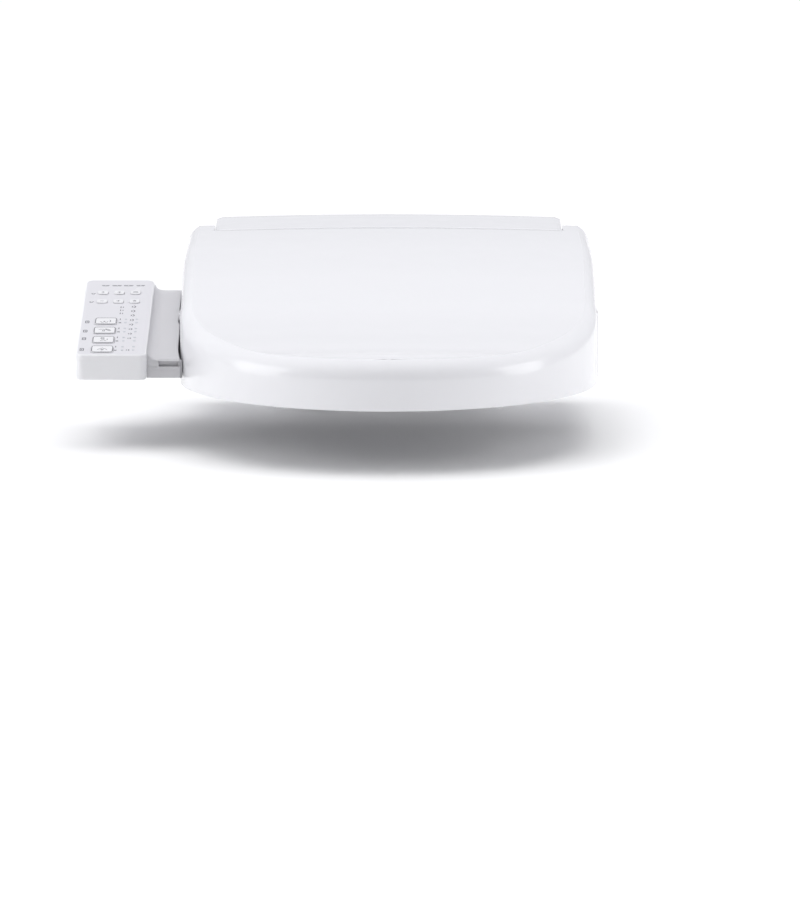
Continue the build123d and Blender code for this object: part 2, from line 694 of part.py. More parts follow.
def seat_top_shell():
    shell = seat_envelope(0, 0, 0)
    top = shell.edges().filter_by(lambda e: e.center().Z > seat_top_z(e.center().Y) - 1.5)
    front = top.filter_by(lambda e: e.center().Y < -60)
    shell = fillet(front, 4)
    shell -= seat_envelope(WALL, WALL, -3)
    for side in SIDES:
        reach = [
            (-46, 96),
            (-46, 101.5),
            (HINGE_Y, HINGE_Z + SEAT_ARM_R),
            (HINGE_Y, HINGE_Z - SEAT_ARM_R),
            (-29, 102.2),
        ]
        x0, x1 = sorted(side * x for x in SEAT_ARM_X)
        arm = prism_x(reach, x0, x1) + cyl_x(x0, x1, HINGE_Y, HINGE_Z, SEAT_ARM_R)
        shell += arm - cyl_x(x0 - 1, x1 + 1, HINGE_Y, HINGE_Z, HINGE_SHAFT_R + RUNNING_GAP)
    return shell


def seat_top_z(y):
    """Straight-line height of the seat's top between its profile points."""
    for (y0, z0), (y1, z1) in zip(SEAT_TOP, SEAT_TOP[1:]):
        if y0 <= y <= y1:
            return z0 + (z1 - z0) * (y - y0) / (y1 - y0)
    return SEAT_TOP[-1][1]


def seat_bottom_shell():
    plate = seat_envelope(WALL + 0.1, WALL + 4, 0)
    return plate - seat_envelope(WALL, WALL + 3, 2.5, step_back=2.6)


def seat_heater_sheet():
    sheet = seat_envelope(14, WALL + 0.6, 4)
    return (sheet - seat_envelope(10, WALL + 1.4, -20)) & box(-200, 200, -470, -200, 0, 200)


def seat_bumper(x, y):
    return cyl_z(x, y, 0, SEAT_BOTTOM_Z, 6)


# ---- lid ----
def lid_envelope(inset, low_z):
    plan = extrude(lid_plan(inset), 160) & box(-220, 220, -480, 40, low_z, 150)
    body = plan & under_curve(LID_TOP, -5, 220, inset)
    ear_end = cyl_x(-200, 200, HINGE_Y, HINGE_Z, LID_EAR_REAR_Y - HINGE_Y - inset)
    front = box(-220, 220, -480, HINGE_Y, -5, 150)
    rear_skirt = box(-220, 220, HINGE_Y, LID_EAR_REAR_Y - inset, -5, HINGE_Z)
    return body & (front + ear_end + rear_skirt)


def lid_shell():
    outer = lid_envelope(0, LID_BOTTOM_Z)
    rim = outer.edges().filter_by(
        lambda e: e.center().Z > 49 and e.center().Y < -30 and e.length > 30
    )
    outer = fillet(rim, LID_TOP_ROUND)
    shell = outer - lid_envelope(WALL, -10)
    # middle of the rear edge, open to the hinge box
    cheek_x = STRIP_HALF_WIDTH + EAR_GAP
    shell -= box(-cheek_x, cheek_x, STRIP_FRONT_Y - 2, 40, 0, 150)
    # skirt raised over the base unit's wings, and the rear wall cut up to clear the seat's arms
    shell -= box(-220, 220, WING_FRONT_Y - 5, 40, 0, LID_SKIRT_STEP_Z)
    shell -= box(-188, 188, 4, 40, 0, LID_REAR_WALL_Z)
    for side in SIDES:
        x0, x1 = sorted((side * cheek_x, side * (cheek_x + LID_CHEEK_T)))
        cheek = box(x0, x1, STRIP_FRONT_Y - 2, HINGE_Y, 101, 130) & outer
        cheek += cyl_x(x0, x1, HINGE_Y, HINGE_Z, LID_CHEEK_R)
        shell += cheek - cyl_x(x0 - 1, x1 + 1, HINGE_Y, HINGE_Z, HINGE_SHAFT_R + RUNNING_GAP)
    return shell


def lid_bumper(x, y, z0, z1):
    return cyl_z(x, y, z0, z1, 6)


# ---- mount ----
save("mounting_plate", mounting_plate())
save("mounting_bolts", *[mounting_bolt(x) for x in BOLTS])
save("bolt_bushings", *[bolt_bushing(x) for x in BOLTS])
save("bolt_washers", *[bolt_washer(x) for x in BOLTS])
save("wing_nuts", *[wing_nut(x) for x in BOLTS])

# ---- base unit ----
save("lower_housing", lower_housing())
save("upper_cover", upper_cover())
save("strip_cover", strip_cover())
save("base_pads", *[base_pad(x, y) for x in (-176, 176) for y in (-168, 30)])
save("hinge_shafts", *[hinge_shaft(side) for side in SIDES])
save("soft_close_dampers", *[soft_close_damper(side) for side in SIDES])
save("side_arm", side_arm())
save("panel_case", panel_case())
save("panel_cover", panel_cover(LARGE_KEYS + SMALL_KEYS))
save("panel_board", panel_board())
save("indicator_lenses", *[indicator(x, y) for x, y in INDICATORS])
save("water_inlet", water_inlet())
save("solenoid_valve", solenoid_valve())
save("heater_tank", heater_tank())
save("air_pump", air_pump())
save("feed_hose", feed_hose())
save("blower_housing", blower_housing())
save("blower_motor", blower_motor())
save("dryer_duct", dryer_duct())
save("dryer_heater", dryer_heater())
save("deodoriser_housing", deodoriser_housing())
save("main_board", main_board())
save("power_box", power_box())
save("cord_gland", cord_gland())
save("nozzle_carrier", nozzle_carrier())
save("wand_motor", wand_motor())

# ---- pieces that move on the base unit ----
save("wand_tube", wand_tube())
save("wand_tip", wand_tip())
save("wand_pinion", wand_pinion())
save("blower_wheel", blower_wheel())
save("dryer_flap", dryer_flap())
save("deodoriser_wheel", deodoriser_wheel())
save("filter_cartridge", filter_cartridge())
save("release_button", release_button())
for number, (x, y, w, l) in enumerate(LARGE_KEYS, 1):
    save(f"function_key_{number}", panel_key(x, y, w, l))
for number, (x, y, w, l) in enumerate(SMALL_KEYS, 1):
    save(f"setting_key_{number}", panel_key(x, y, w, l))

# ---- seat and lid ----
save("seat_top_shell", seat_top_shell())
save("seat_bottom_shell", seat_bottom_shell())
save("seat_heater_sheet", seat_heater_sheet())
seat_feet = ((-148, -240), (148, -240), (-95, -398), (95, -398))
save("seat_bumpers", *[seat_bumper(x, y) for x, y in seat_feet])
save("lid_shell", lid_shell())
save("lid_bumpers", *[lid_bumper(x, y, 40, 46.9) for x, y in ((-70, -425), (70, -425))])
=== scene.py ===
import math

import bmesh
import bpy
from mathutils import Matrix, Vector


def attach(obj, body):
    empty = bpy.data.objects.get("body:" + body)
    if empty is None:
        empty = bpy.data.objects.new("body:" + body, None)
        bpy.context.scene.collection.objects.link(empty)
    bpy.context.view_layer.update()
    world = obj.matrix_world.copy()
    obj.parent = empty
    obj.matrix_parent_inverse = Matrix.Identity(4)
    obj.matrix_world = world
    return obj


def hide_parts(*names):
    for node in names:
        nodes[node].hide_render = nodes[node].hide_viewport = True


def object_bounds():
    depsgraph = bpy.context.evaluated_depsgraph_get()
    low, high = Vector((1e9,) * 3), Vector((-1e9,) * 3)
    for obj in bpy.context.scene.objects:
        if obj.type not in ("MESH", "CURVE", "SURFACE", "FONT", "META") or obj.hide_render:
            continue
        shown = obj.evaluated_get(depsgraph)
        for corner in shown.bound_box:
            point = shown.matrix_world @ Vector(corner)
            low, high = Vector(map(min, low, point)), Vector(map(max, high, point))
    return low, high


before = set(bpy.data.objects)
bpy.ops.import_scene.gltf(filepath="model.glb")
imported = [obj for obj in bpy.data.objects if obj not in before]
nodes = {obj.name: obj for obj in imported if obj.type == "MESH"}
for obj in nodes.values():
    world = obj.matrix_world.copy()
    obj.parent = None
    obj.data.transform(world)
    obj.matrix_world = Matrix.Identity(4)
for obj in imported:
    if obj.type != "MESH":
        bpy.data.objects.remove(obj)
cad_box = [list(corner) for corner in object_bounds()]


# ---- Studio: floor, lights and camera ----
# A plain pale floor just under the ends of the bowl bolts, a wide soft light overhead,
# one soft light on each side, and a long lens a little above the lid.
FLOOR_GAP = 0.0006
FLOOR_HALF_WIDTH = 40
FLOOR_FRONT_Y, FLOOR_REAR_Y = -30, 60
floor_z = cad_box[0][2] - FLOOR_GAP
floor_corners = [
    (-FLOOR_HALF_WIDTH, FLOOR_FRONT_Y, floor_z), (FLOOR_HALF_WIDTH, FLOOR_FRONT_Y, floor_z),
    (FLOOR_HALF_WIDTH, FLOOR_REAR_Y, floor_z), (-FLOOR_HALF_WIDTH, FLOOR_REAR_Y, floor_z),
]
floor_mesh = bpy.data.meshes.new("studio_floor")
floor_mesh.from_pydata(floor_corners, [], [(0, 1, 2, 3)])
floor = bpy.data.objects.new("studio_floor", floor_mesh)
bpy.context.scene.collection.objects.link(floor)


def new_finish(name):
    """An empty material, with its node tree and its shader."""
    material = bpy.data.materials.new(name)
    material.use_nodes = True
    return material, material.node_tree, material.node_tree.nodes["Principled BSDF"]


def noise(tree, scale, detail=2.0):
    node = tree.nodes.new("ShaderNodeTexNoise")
    node.inputs["Scale"].default_value = scale
    node.inputs["Detail"].default_value = detail
    return node


def remap(tree, low, high, to_low=0.0, to_high=1.0):
    """A value between low and high carried over to the range to_low to to_high."""
    node = tree.nodes.new("ShaderNodeMapRange")
    node.inputs["From Min"].default_value = low
    node.inputs["From Max"].default_value = high
    node.inputs["To Min"].default_value = to_low
    node.inputs["To Max"].default_value = to_high
    return node


def colour_mix(tree, first=None, second=None):
    node = tree.nodes.new("ShaderNodeMix")
    node.data_type = "RGBA"
    for socket, colour in (("A", first), ("B", second)):
        if colour:
            node.inputs[socket].default_value = (*colour, 1)
    return node


floor_paint, tree, shader = new_finish("studio_floor_paint")
shader.inputs["Roughness"].default_value = 0.9
shader.inputs["Specular IOR Level"].default_value = 0.1
mottle = noise(tree, 2.0)
tint = colour_mix(tree, (0.955, 0.955, 0.955), (0.975, 0.975, 0.975))
tree.links.new(mottle.outputs["Fac"], tint.inputs["Factor"])
tree.links.new(tint.outputs["Result"], shader.inputs["Base Color"])
floor.data.materials.append(floor_paint)

# the air is dim in front of the seat and brighter behind it
world = bpy.data.worlds.new("studio_air")
bpy.context.scene.world = world
world.use_nodes = True
tree = world.node_tree
tree.nodes["Background"].inputs["Color"].default_value = (0.955, 0.96, 1.0, 1)
heading = tree.nodes.new("ShaderNodeTexCoord")
split = tree.nodes.new("ShaderNodeSeparateXYZ")
fade = remap(tree, -0.95, 0.2, 0.1, 0.7)
fade.interpolation_type = "SMOOTHSTEP"
tree.links.new(heading.outputs["Generated"], split.inputs["Vector"])
tree.links.new(split.outputs["Y"], fade.inputs["Value"])
tree.links.new(fade.outputs["Result"], tree.nodes["Background"].inputs["Strength"])


def soft_light(name, place, aim, width, height, watts):
    lamp = bpy.data.lights.new(name, "AREA")
    lamp.shape = "RECTANGLE"
    lamp.size = width
    lamp.size_y = height
    lamp.energy = watts
    holder = bpy.data.objects.new(name, lamp)
    holder.location = place
    holder.rotation_euler = (Vector(aim) - Vector(place)).to_track_quat("-Z", "Y").to_euler()
    bpy.context.scene.collection.objects.link(holder)


overhead = bpy.data.lights.new("overhead_light", "SUN")
overhead.energy = 1.78
overhead.angle = math.radians(70)
overhead_holder = bpy.data.objects.new("overhead_light", overhead)
overhead_holder.location = (0, 0, 3)
overhead_holder.rotation_euler = (math.radians(6), math.radians(-5), 0)
overhead_holder.visible_glossy = False
bpy.context.scene.collection.objects.link(overhead_holder)
SEAT_MIDDLE = (0, -0.2, 0.05)
soft_light("left_light", (-2.2, -0.6, 0.6), SEAT_MIDDLE, width=1.2, height=1.4, watts=10)
soft_light("right_light", (2.2, -0.5, 0.6), SEAT_MIDDLE, width=1.0, height=1.4, watts=9)

LENS_REACH = 5.0
LENS_HEIGHT = 0.6027
LENS_DIP_DEGREES = 7.97
LENS_TURN_DEGREES = -0.126
lens = bpy.data.cameras.new("camera")
lens.sensor_fit = "HORIZONTAL"
lens.sensor_width = 36
lens.lens = 235.665
lens.clip_start = 0.1
lens.clip_end = 200
camera = bpy.data.objects.new("camera", lens)
camera.location = (0, -LENS_REACH, LENS_HEIGHT)
camera.rotation_euler = (math.radians(90 - LENS_DIP_DEGREES), 0, math.radians(LENS_TURN_DEGREES))
bpy.context.scene.collection.objects.link(camera)
bpy.context.scene.camera = camera
bpy.context.scene.view_settings.view_transform = "Standard"


# ---- Lid ----
# The lid is one injection-moulded shell in high-gloss white plastic. Its top rises to the rear in a
# gentle S, with a slight crown across, and turns down through a crisp bevel and a full round into a
# deep skirt that hides the seat. Two ears reach back on each side of the hinge box.
MM = 0.001
LID_NOSE_CENTRE_Y = -241.0
LID_NOSE_HALF_WIDTH = 190.5
LID_NOSE_REACH = 223.0
LID_REAR_Y = 16.0
LID_NOTCH_X = 166.6
LID_NOTCH_Y = -21.5
LID_EDGE_REACH = 11.0
LID_EDGE_Z = [
    (-480, 49.4), (-430, 49.4), (-402, 50.0), (-375, 54.0), (-333, 60.2), (-288, 68.8), (-255, 78.4),
    (-212, 89.8), (-170, 99.2), (-111, 109.2), (-66, 115.8), (-16, 121.2), (30, 124.5),
]
# the sides widen behind the nose, then draw in a little at the ears
LID_WIDENING, LID_WIDENING_LENGTH = 2.5, 140
LID_DRAW_IN, LID_DRAW_IN_Y, LID_DRAW_IN_LENGTH = 1.0, -93, 72
LID_NOSE_CROWN, LID_CROWN_GAIN, LID_CROWN_Y, LID_CROWN_LENGTH = 0.8, 2.0, -330, 290
# the skirt's lower edge, stepped up over the base unit and again behind the ears
LID_SKIRT_Z, LID_SIDE_Z, LID_EAR_Z = 5.0, 63.0, 103.0
LID_STEP_Y, LID_STEP_LENGTH = -197.5, 5
# rows of the skin lie closer together over the step and on the ears
LID_ROW, LID_STEP_ROW, LID_EAR_ROW = 5.0, 1.0, 3.3125
LID_STEP_FRONT_Y, LID_STEP_REAR_Y = -201, -191


def smooth_step(t):
    t = min(max(t, 0.0), 1.0)
    return t * t * (3 - 2 * t)


def eased(points, y):
    """A smooth curve through (y, value) points, in cubic spans that take up the mean slopes at their ends."""
    y = min(max(y, points[0][0]), points[-1][0])
    k = max(i for i in range(len(points) - 1) if points[i][0] <= y)
    slopes = []
    for i in (k, k + 1):
        a, b = points[max(i - 1, 0)], points[min(i + 1, len(points) - 1)]
        slopes.append((b[1] - a[1]) / (b[0] - a[0]))
    (y0, z0), (y1, z1) = points[k], points[k + 1]
    span = y1 - y0
    t = (y - y0) / span
    return (
        z0 * (2 * t**3 - 3 * t**2 + 1)
        + z1 * (3 * t**2 - 2 * t**3)
        + span * slopes[0] * (t**3 - 2 * t**2 + t)
        + span * slopes[1] * (t**3 - t**2)
    )


def lid_side_x(y):
    widening = LID_WIDENING * smooth_step((y - LID_NOSE_CENTRE_Y) / LID_WIDENING_LENGTH)
    draw_in = LID_DRAW_IN * smooth_step((y - LID_DRAW_IN_Y) / LID_DRAW_IN_LENGTH)
    return LID_NOSE_HALF_WIDTH + widening - draw_in


def lid_top_z(x, y, half):
    crown = LID_NOSE_CROWN + LID_CROWN_GAIN * smooth_step((y - LID_CROWN_Y) / LID_CROWN_LENGTH)
    return eased(LID_EDGE_Z, y) + crown * (1 - (x / half) ** 2)


def lid_bottom_z(y):
    return LID_SKIRT_Z + (LID_SIDE_Z - LID_SKIRT_Z) * smooth_step((y - LID_STEP_Y) / LID_STEP_LENGTH)


def edge_profile(reach, bevel_angle=math.radians(34), bevel=2.0, break_reach=0.24, break_depth=0.4):
    """Points (outward, down) from a flat top over a crisp bevel and a full round to an upright wall."""
    profile = []
    break_steps, round_steps = 3, 12
    for k in range(1, break_steps + 1):
        a = bevel_angle * k / break_steps
        profile.append((break_reach * math.sin(a) / math.sin(bevel_angle), break_depth * (1 - math.cos(a))))
    out = profile[-1][0] + bevel * math.cos(bevel_angle)
    down = profile[-1][1] + bevel * math.sin(bevel_angle)
    profile.append((out, down))
    radius = (reach - out) / (1 - math.sin(bevel_angle))
    for k in range(1, round_steps + 1):
        a = bevel_angle + (math.pi / 2 - bevel_angle) * k / round_steps
        profile.append((out + radius * (math.sin(a) - math.sin(bevel_angle)),
                        down + radius * (math.cos(bevel_angle) - math.cos(a))))
    return profile


def lid_right_edge():
    """Rows of the right half, rear to front: (point on the top's edge, outward direction)."""
    rows = []
    y = LID_REAR_Y - LID_EDGE_REACH
    while y > LID_NOSE_CENTRE_Y:
        rows.append(((lid_side_x(y) - LID_EDGE_REACH, y), (1.0, 0.0)))
        if y > LID_NOTCH_Y + 1:
            y -= LID_EAR_ROW
        else:
            y -= LID_STEP_ROW if LID_STEP_FRONT_Y < y < LID_STEP_REAR_Y else LID_ROW
    arc_steps = 84
    for k in range(arc_steps + 1):
        t = math.pi / 2 * k / arc_steps
        p = Vector((LID_NOSE_HALF_WIDTH * math.cos(t), LID_NOSE_CENTRE_Y - LID_NOSE_REACH * math.sin(t)))
        n = Vector((math.cos(t) / LID_NOSE_HALF_WIDTH, -math.sin(t) / LID_NOSE_REACH)).normalized()
        q = p - n * LID_EDGE_REACH
        rows.append(((q.x, q.y), (n.x, n.y)))
    return rows


def lid_sheet():
    """Outer skin of the lid as vertices and faces."""
    vertices, faces = [], []

    def add(x, y, z):
        vertices.append((x * MM, y * MM, z * MM))
        return len(vertices) - 1

    rows = lid_right_edge()
    split = LID_NOTCH_X / (lid_side_x(0) - LID_EDGE_REACH)
    ear_columns, middle_columns = 5, 44
    shares = [-1 + (1 - split) * k / ear_columns for k in range(ear_columns)]
    shares += [-split + 2 * split * k / middle_columns for k in range(middle_columns)]
    shares += [split + (1 - split) * k / ear_columns for k in range(ear_columns + 1)]
    grid = []
    for (half, y), _ in rows[:-1]:
        grid.append([add(half * s, y, lid_top_z(half * s, y, half)) for s in shares])
    tip_y = rows[-1][0][1]
    tip = add(0, tip_y, lid_top_z(0, tip_y, 1))
    notch_row = max(k for k, row in enumerate(rows) if row[0][1] >= LID_NOTCH_Y - 0.01)
    last = len(shares) - 1
    for k in range(len(grid) - 1):
        for c in range(last):
            in_notch = ear_columns <= c < last - ear_columns
            if not (k < notch_row and in_notch):
                faces.append((grid[k][c], grid[k][c + 1], grid[k + 1][c + 1], grid[k + 1][c]))
    for c in range(last):
        faces.append((grid[-1][c], grid[-1][c + 1], tip))

    # the edge profile is swept round this rim: the rear of one ear, its corner, the side, the nose, and back
    right = []
    for c in range(last - ear_columns, last):
        x, y = vertices[grid[0][c]][0] / MM, rows[0][0][1]
        right.append((grid[0][c], (x, y), (0.0, 1.0), LID_EAR_Z))
    corner_steps = 10
    for k in range(corner_steps + 1):
        a = math.pi / 2 * (1 - k / corner_steps)
        low = LID_EAR_Z if k < 3 else LID_SIDE_Z
        right.append((grid[0][last], rows[0][0], (math.cos(a), math.sin(a)), low))
    for k in range(1, len(grid)):
        right.append((grid[k][last], rows[k][0], rows[k][1], lid_bottom_z(rows[k][0][1])))
    mirror_of = {}
    for row in grid:
        for c in range(last + 1):
            mirror_of[row[c]] = row[last - c]
    left = [(mirror_of[i], (-x, y), (-nx, ny), low) for i, (x, y), (nx, ny), low in right]
    rim = left + [(tip, (0, tip_y), (0.0, -1.0), LID_SKIRT_Z)] + right[::-1]

    profile = edge_profile(LID_EDGE_REACH)
    wall_steps = 7
    chains = []
    for index, (x, y), (nx, ny), low in rim:
        top = vertices[index][2] / MM
        chain = [index]
        for out, down in profile:
            chain.append(add(x + nx * out, y + ny * out, top - down))
        wall_top = top - down
        for k in range(1, wall_steps + 1):
            chain.append(add(x + nx * out, y + ny * out, wall_top + (low - wall_top) * k / wall_steps))
        chains.append(chain)
    for a, b in zip(chains, chains[1:]):
        for k in range(len(a) - 1):
            face = (a[k], a[k + 1], b[k + 1], b[k])
            faces.append(face if a[k] != b[k] else face[:3])
    return vertices, faces


def shell_piece(name, vertices, faces, thickness=0.0, rounding=0.0):
    """A smooth-shaded mesh object, thickened inwards and with its rims rounded."""
    mesh = bpy.data.meshes.new(name)
    mesh.from_pydata(vertices, [], faces)
    mesh.validate()
    work = bmesh.new()
    work.from_mesh(mesh)
    bmesh.ops.remove_doubles(work, verts=work.verts, dist=1e-6)
    bmesh.ops.recalc_face_normals(work, faces=work.faces)
    work.to_mesh(mesh)
    work.free()
    piece = bpy.data.objects.new(name, mesh)
    bpy.context.scene.collection.objects.link(piece)
    for face in mesh.polygons:
        face.use_smooth = True
    if thickness:
        wall = piece.modifiers.new("wall", "SOLIDIFY")
        wall.thickness = thickness
        wall.offset = -1
        wall.use_even_offset = False
    if rounding:
        rims = piece.modifiers.new("rounded rims", "BEVEL")
        rims.width = rounding
        rims.segments = 2
        rims.limit_method = "ANGLE"
        rims.angle_limit = math.radians(55)
    return piece


def group_socket(group, name, kind, side, value=None):
    socket = group.interface.new_socket(name=name, in_out=side, socket_type=kind)
    if value is not None:
        socket.default_value = value


def group_ends(group):
    return group.nodes.new("NodeGroupInput"), group.nodes.new("NodeGroupOutput")


def multiply(tree):
    node = tree.nodes.new("ShaderNodeMath")
    node.operation = "MULTIPLY"
    return node


# moulded skin: the faint orange-peel and polish marks that a steel mould leaves on plastic
moulded_skin = bpy.data.node_groups.new("moulded skin", "ShaderNodeTree")
group_socket(moulded_skin, "Grain Size", "NodeSocketFloat", "INPUT", 700.0)
group_socket(moulded_skin, "Base Roughness", "NodeSocketFloat", "INPUT", 0.2)
group_socket(moulded_skin, "Height", "NodeSocketFloat", "OUTPUT")
group_socket(moulded_skin, "Roughness", "NodeSocketFloat", "OUTPUT")
entry, leave = group_ends(moulded_skin)
place = moulded_skin.nodes.new("ShaderNodeTexCoord")
peel = noise(moulded_skin, 700)
polish = noise(moulded_skin, 45, 5)
spread = remap(moulded_skin, 0.3, 0.7, -0.02, 0.03)
total = moulded_skin.nodes.new("ShaderNodeMath")
link = moulded_skin.links.new
link(place.outputs["Object"], peel.inputs["Vector"])
link(place.outputs["Object"], polish.inputs["Vector"])
link(entry.outputs["Grain Size"], peel.inputs["Scale"])
link(polish.outputs["Fac"], spread.inputs["Value"])
link(spread.outputs["Result"], total.inputs[0])
link(entry.outputs["Base Roughness"], total.inputs[1])
link(peel.outputs["Fac"], leave.inputs["Height"])
link(total.outputs["Value"], leave.inputs["Roughness"])

# handled edges and dust: outer edges change colour in broken patches, and faces that look up catch dust
handled = bpy.data.node_groups.new("handled edges and dust", "ShaderNodeTree")
group_socket(handled, "Clean Colour", "NodeSocketColor", "INPUT", (0.9, 0.9, 0.9, 1))
group_socket(handled, "Edge Colour", "NodeSocketColor", "INPUT", (0.8, 0.8, 0.8, 1))
group_socket(handled, "Edge Amount", "NodeSocketFloat", "INPUT", 0.2)
group_socket(handled, "Dust Amount", "NodeSocketFloat", "INPUT", 0.05)
group_socket(handled, "Colour", "NodeSocketColor", "OUTPUT")
entry, leave = group_ends(handled)
form = handled.nodes.new("ShaderNodeNewGeometry")
place = handled.nodes.new("ShaderNodeTexCoord")
edge = remap(handled, 0.53, 0.62)
breakup = noise(handled, 120, 6)
edge_mask, edge_part = multiply(handled), multiply(handled)
worn = colour_mix(handled)
upward = handled.nodes.new("ShaderNodeSeparateXYZ")
specks = noise(handled, 900, 3)
speck_cut = remap(handled, 0.56, 0.74)
dust_mask, dust_part = multiply(handled), multiply(handled)
dust_mask.use_clamp = True
dusty = colour_mix(handled, second=(0.62, 0.61, 0.6))
link = handled.links.new
link(form.outputs["Pointiness"], edge.inputs["Value"])
link(place.outputs["Object"], breakup.inputs["Vector"])
link(place.outputs["Object"], specks.inputs["Vector"])
link(edge.outputs["Result"], edge_mask.inputs[0])
link(breakup.outputs["Fac"], edge_mask.inputs[1])
link(edge_mask.outputs["Value"], edge_part.inputs[0])
link(entry.outputs["Edge Amount"], edge_part.inputs[1])
link(edge_part.outputs["Value"], worn.inputs["Factor"])
link(entry.outputs["Clean Colour"], worn.inputs["A"])
link(entry.outputs["Edge Colour"], worn.inputs["B"])
link(form.outputs["Normal"], upward.inputs["Vector"])
link(specks.outputs["Fac"], speck_cut.inputs["Value"])
link(upward.outputs["Z"], dust_mask.inputs[0])
link(speck_cut.outputs["Result"], dust_mask.inputs[1])
link(dust_mask.outputs["Value"], dust_part.inputs[0])
link(entry.outputs["Dust Amount"], dust_part.inputs[1])
link(dust_part.outputs["Value"], dusty.inputs["Factor"])
link(worn.outputs["Result"], dusty.inputs["A"])
link(dusty.outputs["Result"], leave.inputs["Colour"])


def moulded_plastic(name, colour, edge_colour, roughness,
                    grain=700, depth=0.02, coat=0.0, edges=0.2, dust=0.012):
    """A plastic finish: colour with handled edges and dust, and a moulded skin."""
    material, tree, shader = new_finish(name)
    shader.inputs["IOR"].default_value = 1.5
    shader.inputs["Coat Weight"].default_value = coat
    shader.inputs["Coat Roughness"].default_value = 0.06
    skin = tree.nodes.new("ShaderNodeGroup")
    skin.node_tree = moulded_skin
    skin.inputs["Grain Size"].default_value = grain
    skin.inputs["Base Roughness"].default_value = roughness
    wear = tree.nodes.new("ShaderNodeGroup")
    wear.node_tree = handled
    wear.inputs["Clean Colour"].default_value = (*colour, 1)
    wear.inputs["Edge Colour"].default_value = (*edge_colour, 1)
    wear.inputs["Edge Amount"].default_value = edges
    wear.inputs["Dust Amount"].default_value = dust
    bump = tree.nodes.new("ShaderNodeBump")
    bump.inputs["Strength"].default_value = depth
    bump.inputs["Distance"].default_value = 0.0002
    tree.links.new(wear.outputs["Colour"], shader.inputs["Base Color"])
    tree.links.new(skin.outputs["Roughness"], shader.inputs["Roughness"])
    tree.links.new(skin.outputs["Height"], bump.inputs["Height"])
    tree.links.new(bump.outputs["Normal"], shader.inputs["Normal"])
    return material


lid_white = moulded_plastic(
    "lid_gloss_white", colour=(0.86, 0.86, 0.885), edge_colour=(0.9, 0.9, 0.91), roughness=0.2, grain=260,
    depth=0.012, coat=0.5,
)
lid_cover = shell_piece("lid_cover", *lid_sheet(), thickness=0.003, rounding=0.0007)
lid_cover.data.materials.append(lid_white)
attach(lid_cover, "lid")
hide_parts("lid_shell")


# ---- Lid: hinge cheeks and buffers ----
# A flat cheek inside each ear carries the lid on its steel shaft. It is part of the lid's moulding.
# Two soft buffers under the nose keep the closed lid off the seat.
HINGE_Y, HINGE_Z = 2.0, 110.0
SHAFT_RADIUS, SHAFT_PLAY = 4.5, 0.05
CHEEK_RADIUS, CHEEK_CHAMFER = 11.3, 0.4
CHEEK_INNER_X, CHEEK_OUTER_X = 166.65, 169.0


def hinge_ring(x0, x1, outer, hole, edge, steps=64):
    """A flat ring round the hinge line with chamfered edges, as vertices and faces."""
    loops = [(x0, hole + edge), (x0, outer - edge), (x0 + edge, outer), (x1 - edge, outer),
             (x1, outer - edge), (x1, hole + edge), (x1 - edge, hole), (x0 + edge, hole)]
    vertices, faces = [], []
    for x, radius in loops:
        for k in range(steps):
            a = 2 * math.pi * k / steps
            y, z = HINGE_Y + radius * math.cos(a), HINGE_Z + radius * math.sin(a)
            vertices.append((x * MM, y * MM, z * MM))
    for loop in range(len(loops)):
        for k in range(steps):
            a, b = loop * steps, (loop + 1) % len(loops) * steps
            faces.append((a + k, a + (k + 1) % steps, b + (k + 1) % steps, b + k))
    return vertices, faces


def leave_flat(piece):
    for face in piece.data.polygons:
        face.use_smooth = False


for side, name in ((-1, "lid_hinge_cheek_left"), (1, "lid_hinge_cheek_right")):
    x0, x1 = sorted((side * CHEEK_INNER_X, side * CHEEK_OUTER_X))
    cheek = shell_piece(name, *hinge_ring(x0, x1, CHEEK_RADIUS, SHAFT_RADIUS + SHAFT_PLAY, CHEEK_CHAMFER))
    leave_flat(cheek)
    cheek.data.materials.append(lid_white)
    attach(cheek, "lid")


def soften(name, material, radius=0.0006, segments=2):
    """A node of the frame with its finish, and its moulded edges slightly rounded."""
    node = nodes[name]
    node.data.materials.clear()
    node.data.materials.append(material)
    if radius:
        weld = node.modifiers.new("weld", "WELD")
        weld.merge_threshold = 0.00001
        rounded = node.modifiers.new("rounded edges", "BEVEL")
        rounded.width = radius
        rounded.segments = segments
        rounded.limit_method = "ANGLE"
        rounded.angle_limit = math.radians(38)


buffer_rubber = moulded_plastic(
    "soft_grey_rubber", colour=(0.6, 0.6, 0.61), edge_colour=(0.52, 0.52, 0.52), roughness=0.55, grain=1500,
    depth=0.15, edges=0.3, dust=0.25,
)
soften("lid_bumpers", buffer_rubber, radius=0.0008, segments=3)


# ---- Seat ----
# The seat ring is two shells of satin-gloss plastic welded round a foil heater. Its top is dished
# towards the opening, and a thin apron behind the opening climbs over the base unit to the hinge.
SEAT_TOP = [(-480, 32), (-400, 33.5), (-335, 39), (-262, 57), (-195, 77), (-110, 93), (-60, 100), (0, 107)]
SEAT_HALF_WIDTH = 183.0
SEAT_NOSE_REACH = 213.0
SEAT_REAR_Y = -26.0
SEAT_CORNER = 14.0
OPENING_Y = -270.0
OPENING_HALF = 108.0
OPENING_FRONT = 130.0
OPENING_REAR = 112.0
SEAT_INNER_ROUND, SEAT_OUTER_ROUND = 7.0, 5.0
SEAT_DISH, SEAT_DISH_WIDTH = 1.3, 48
SEAT_DISH_FADE, SEAT_DISH_FADE_Y, SEAT_DISH_FADE_LENGTH = 0.75, -230, 90
SEAT_LEAST_WALL = 0.4
